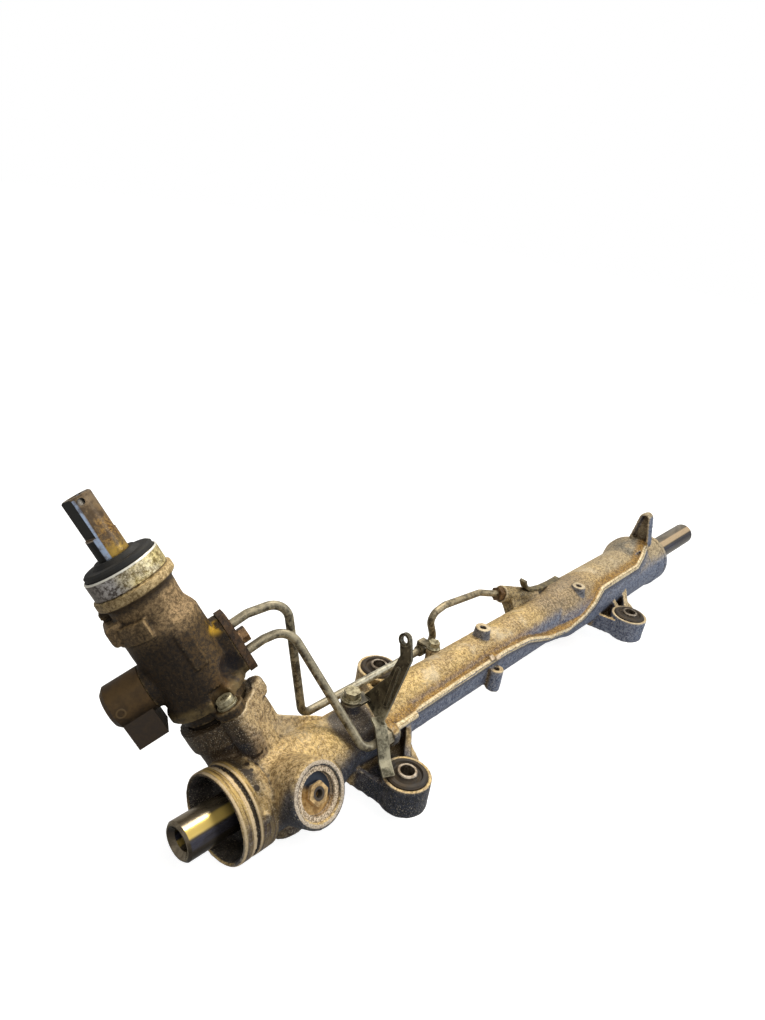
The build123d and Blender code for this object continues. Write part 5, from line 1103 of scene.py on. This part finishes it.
ACROSS_RIM = Vector((0, 0.84, 0.54))
HOOK_Y = 17.0
HOOK_ROUTE = ((378, 42.5), (380, 39), (384, 34), (391, 29.5), (402, 25.0), (418, 22.0), (436, 21.0),
              (452, 21.5))
slab("rim_clip", mm(284.0, -18.6, 16.6), X, ACROSS_RIM, (5.5, 4.5, 1.8), "clip")
slab("rim_clip_tail", mm(289.5, -20.6, 16.0), X, ACROSS_RIM, (6.5, 3.6, 2.4), "clip")
bent_strip("hook_strip", HOOK_Y, HOOK_ROUTE, 7.0, 3.0, "strip")

# -------- floor, light, camera
FLOOR_Z = CAD_BOX[0].z - 0.0005
FLOOR_HALF = 6.0
FLOOR_CENTRE = (0.3, 0, FLOOR_Z)  # of the shadowed area, under the part
FLOOR_REACH = 0.45  # radius of that area, in metres
FLOOR_ALBEDO = 0.5
FLOOR_LIFT = 0.86  # the camera sees this much added near the part
AMBIENT = 0.17
GLOSSY = 0.5
WARM, COOL, PALE_BLUE = (1.0, 0.95, 0.86), (0.90, 0.95, 1.0), (0.75, 0.85, 1.0)
FOCAL_LENGTH_PX, FRAME_HEIGHT_PX = 740.09, 1020.0  # solved from the photograph's circles and parallels
SENSOR_MM = 36.0
CAMERA_PLACE = (-0.18342, -0.25384, 0.35243)
CAMERA_RIGHT = Vector((0.66494, -0.73233, 0.14682))
CAMERA_UP = Vector((0.20678, 0.36939, 0.90597))


def floor_material():
    """White paper: a soft shadow still shows on it, and the camera sees the rest as white."""
    mat = bpy.data.materials.new("floor_white")
    mat.use_nodes = True
    tree = mat.node_tree
    bsdf = tree.nodes["Principled BSDF"]
    bsdf.inputs["Base Color"].default_value = (FLOOR_ALBEDO, FLOOR_ALBEDO, FLOOR_ALBEDO, 1)
    bsdf.inputs["Roughness"].default_value = 1.0
    bsdf.inputs["Specular IOR Level"].default_value = 0.0
    bsdf.inputs["Emission Color"].default_value = (1, 1, 1, 1)
    place = tree.nodes.new("ShaderNodeTexCoord")
    reach = tree.nodes.new("ShaderNodeVectorMath")
    reach.operation = "DISTANCE"
    reach.inputs[1].default_value = FLOOR_CENTRE
    tree.links.new(place.outputs["Object"], reach.inputs[0])
    fade = tree.nodes.new("ShaderNodeMapRange")
    fade.interpolation_type = "SMOOTHSTEP"
    for k, value in enumerate((FLOOR_REACH, 2 * FLOOR_REACH, FLOOR_LIFT, 1.0)):
        fade.inputs[k + 1].default_value = value
    tree.links.new(reach.outputs["Value"], fade.inputs[0])
    path = tree.nodes.new("ShaderNodeLightPath")
    lift = math_node(tree, "MULTIPLY", path.outputs["Is Camera Ray"], fade.outputs[0])
    tree.links.new(lift, bsdf.inputs["Emission Strength"])
    return mat


def white_floor():
    corners = [(x * FLOOR_HALF, y * FLOOR_HALF, FLOOR_Z) for x, y in ((-1, -1), (1, -1), (1, 1), (-1, 1))]
    mesh = bpy.data.meshes.new("floor")
    mesh.from_pydata(corners, [], [(0, 1, 2, 3)])
    mesh.materials.append(floor_material())
    floor = placed("floor", mesh)


def white_world():
    """White to the camera, half as strong in reflections, and a low even light on the part."""
    world = bpy.data.worlds.new("studio")
    bpy.context.scene.world = world
    world.use_nodes = True
    tree = world.node_tree
    background = tree.nodes["Background"]
    background.inputs["Color"].default_value = (1, 1, 1, 1)
    path = tree.nodes.new("ShaderNodeLightPath")
    glossy = math_node(tree, "MULTIPLY", path.outputs["Is Glossy Ray"], GLOSSY)
    seen = math_node(tree, "MAXIMUM", path.outputs["Is Camera Ray"], glossy)
    strength = math_node(tree, "MAXIMUM", seen, AMBIENT)
    tree.links.new(strength, background.inputs["Strength"])


def lamp(name, location, target, size, power, colour):
    data = bpy.data.lights.new(name, "AREA")
    data.size = size
    data.energy = power
    data.color = colour
    obj = placed(name, data)
    obj.location = location
    obj.rotation_mode = "QUATERNION"
    obj.rotation_quaternion = (Vector(target) - Vector(location)).to_track_quat("-Z", "Y")


def photo_camera():
    """The camera of the photograph."""
    data = bpy.data.cameras.new("camera")
    data.sensor_width = SENSOR_MM
    data.lens = SENSOR_MM * FOCAL_LENGTH_PX / FRAME_HEIGHT_PX
    data.clip_start = 0.01
    data.clip_end = 50.0
    camera = placed("camera", data)
    turn = Matrix((CAMERA_RIGHT, CAMERA_UP, CAMERA_RIGHT.cross(CAMERA_UP))).transposed().to_4x4()
    camera.matrix_world = Matrix.Translation(CAMERA_PLACE) @ turn
    return camera


white_floor()
white_world()
lamp("key", (0.70, 0.25, 1.25), (0.30, 0, 0), 0.5, 17.0, WARM)
lamp("near", (-0.20, -0.50, 0.85), (0.08, 0, 0.06), 0.45, 3.8, WARM)
lamp("side", (1.0, -0.9, 0.55), (0.25, 0, 0.02), 0.4, 5.0, COOL)
lamp("front", (-0.3, -1.0, 0.25), (0.25, 0, 0.0), 0.7, 0.8, PALE_BLUE)
bpy.context.scene.camera = photo_camera()
bpy.context.scene.view_settings.view_transform = "Standard"
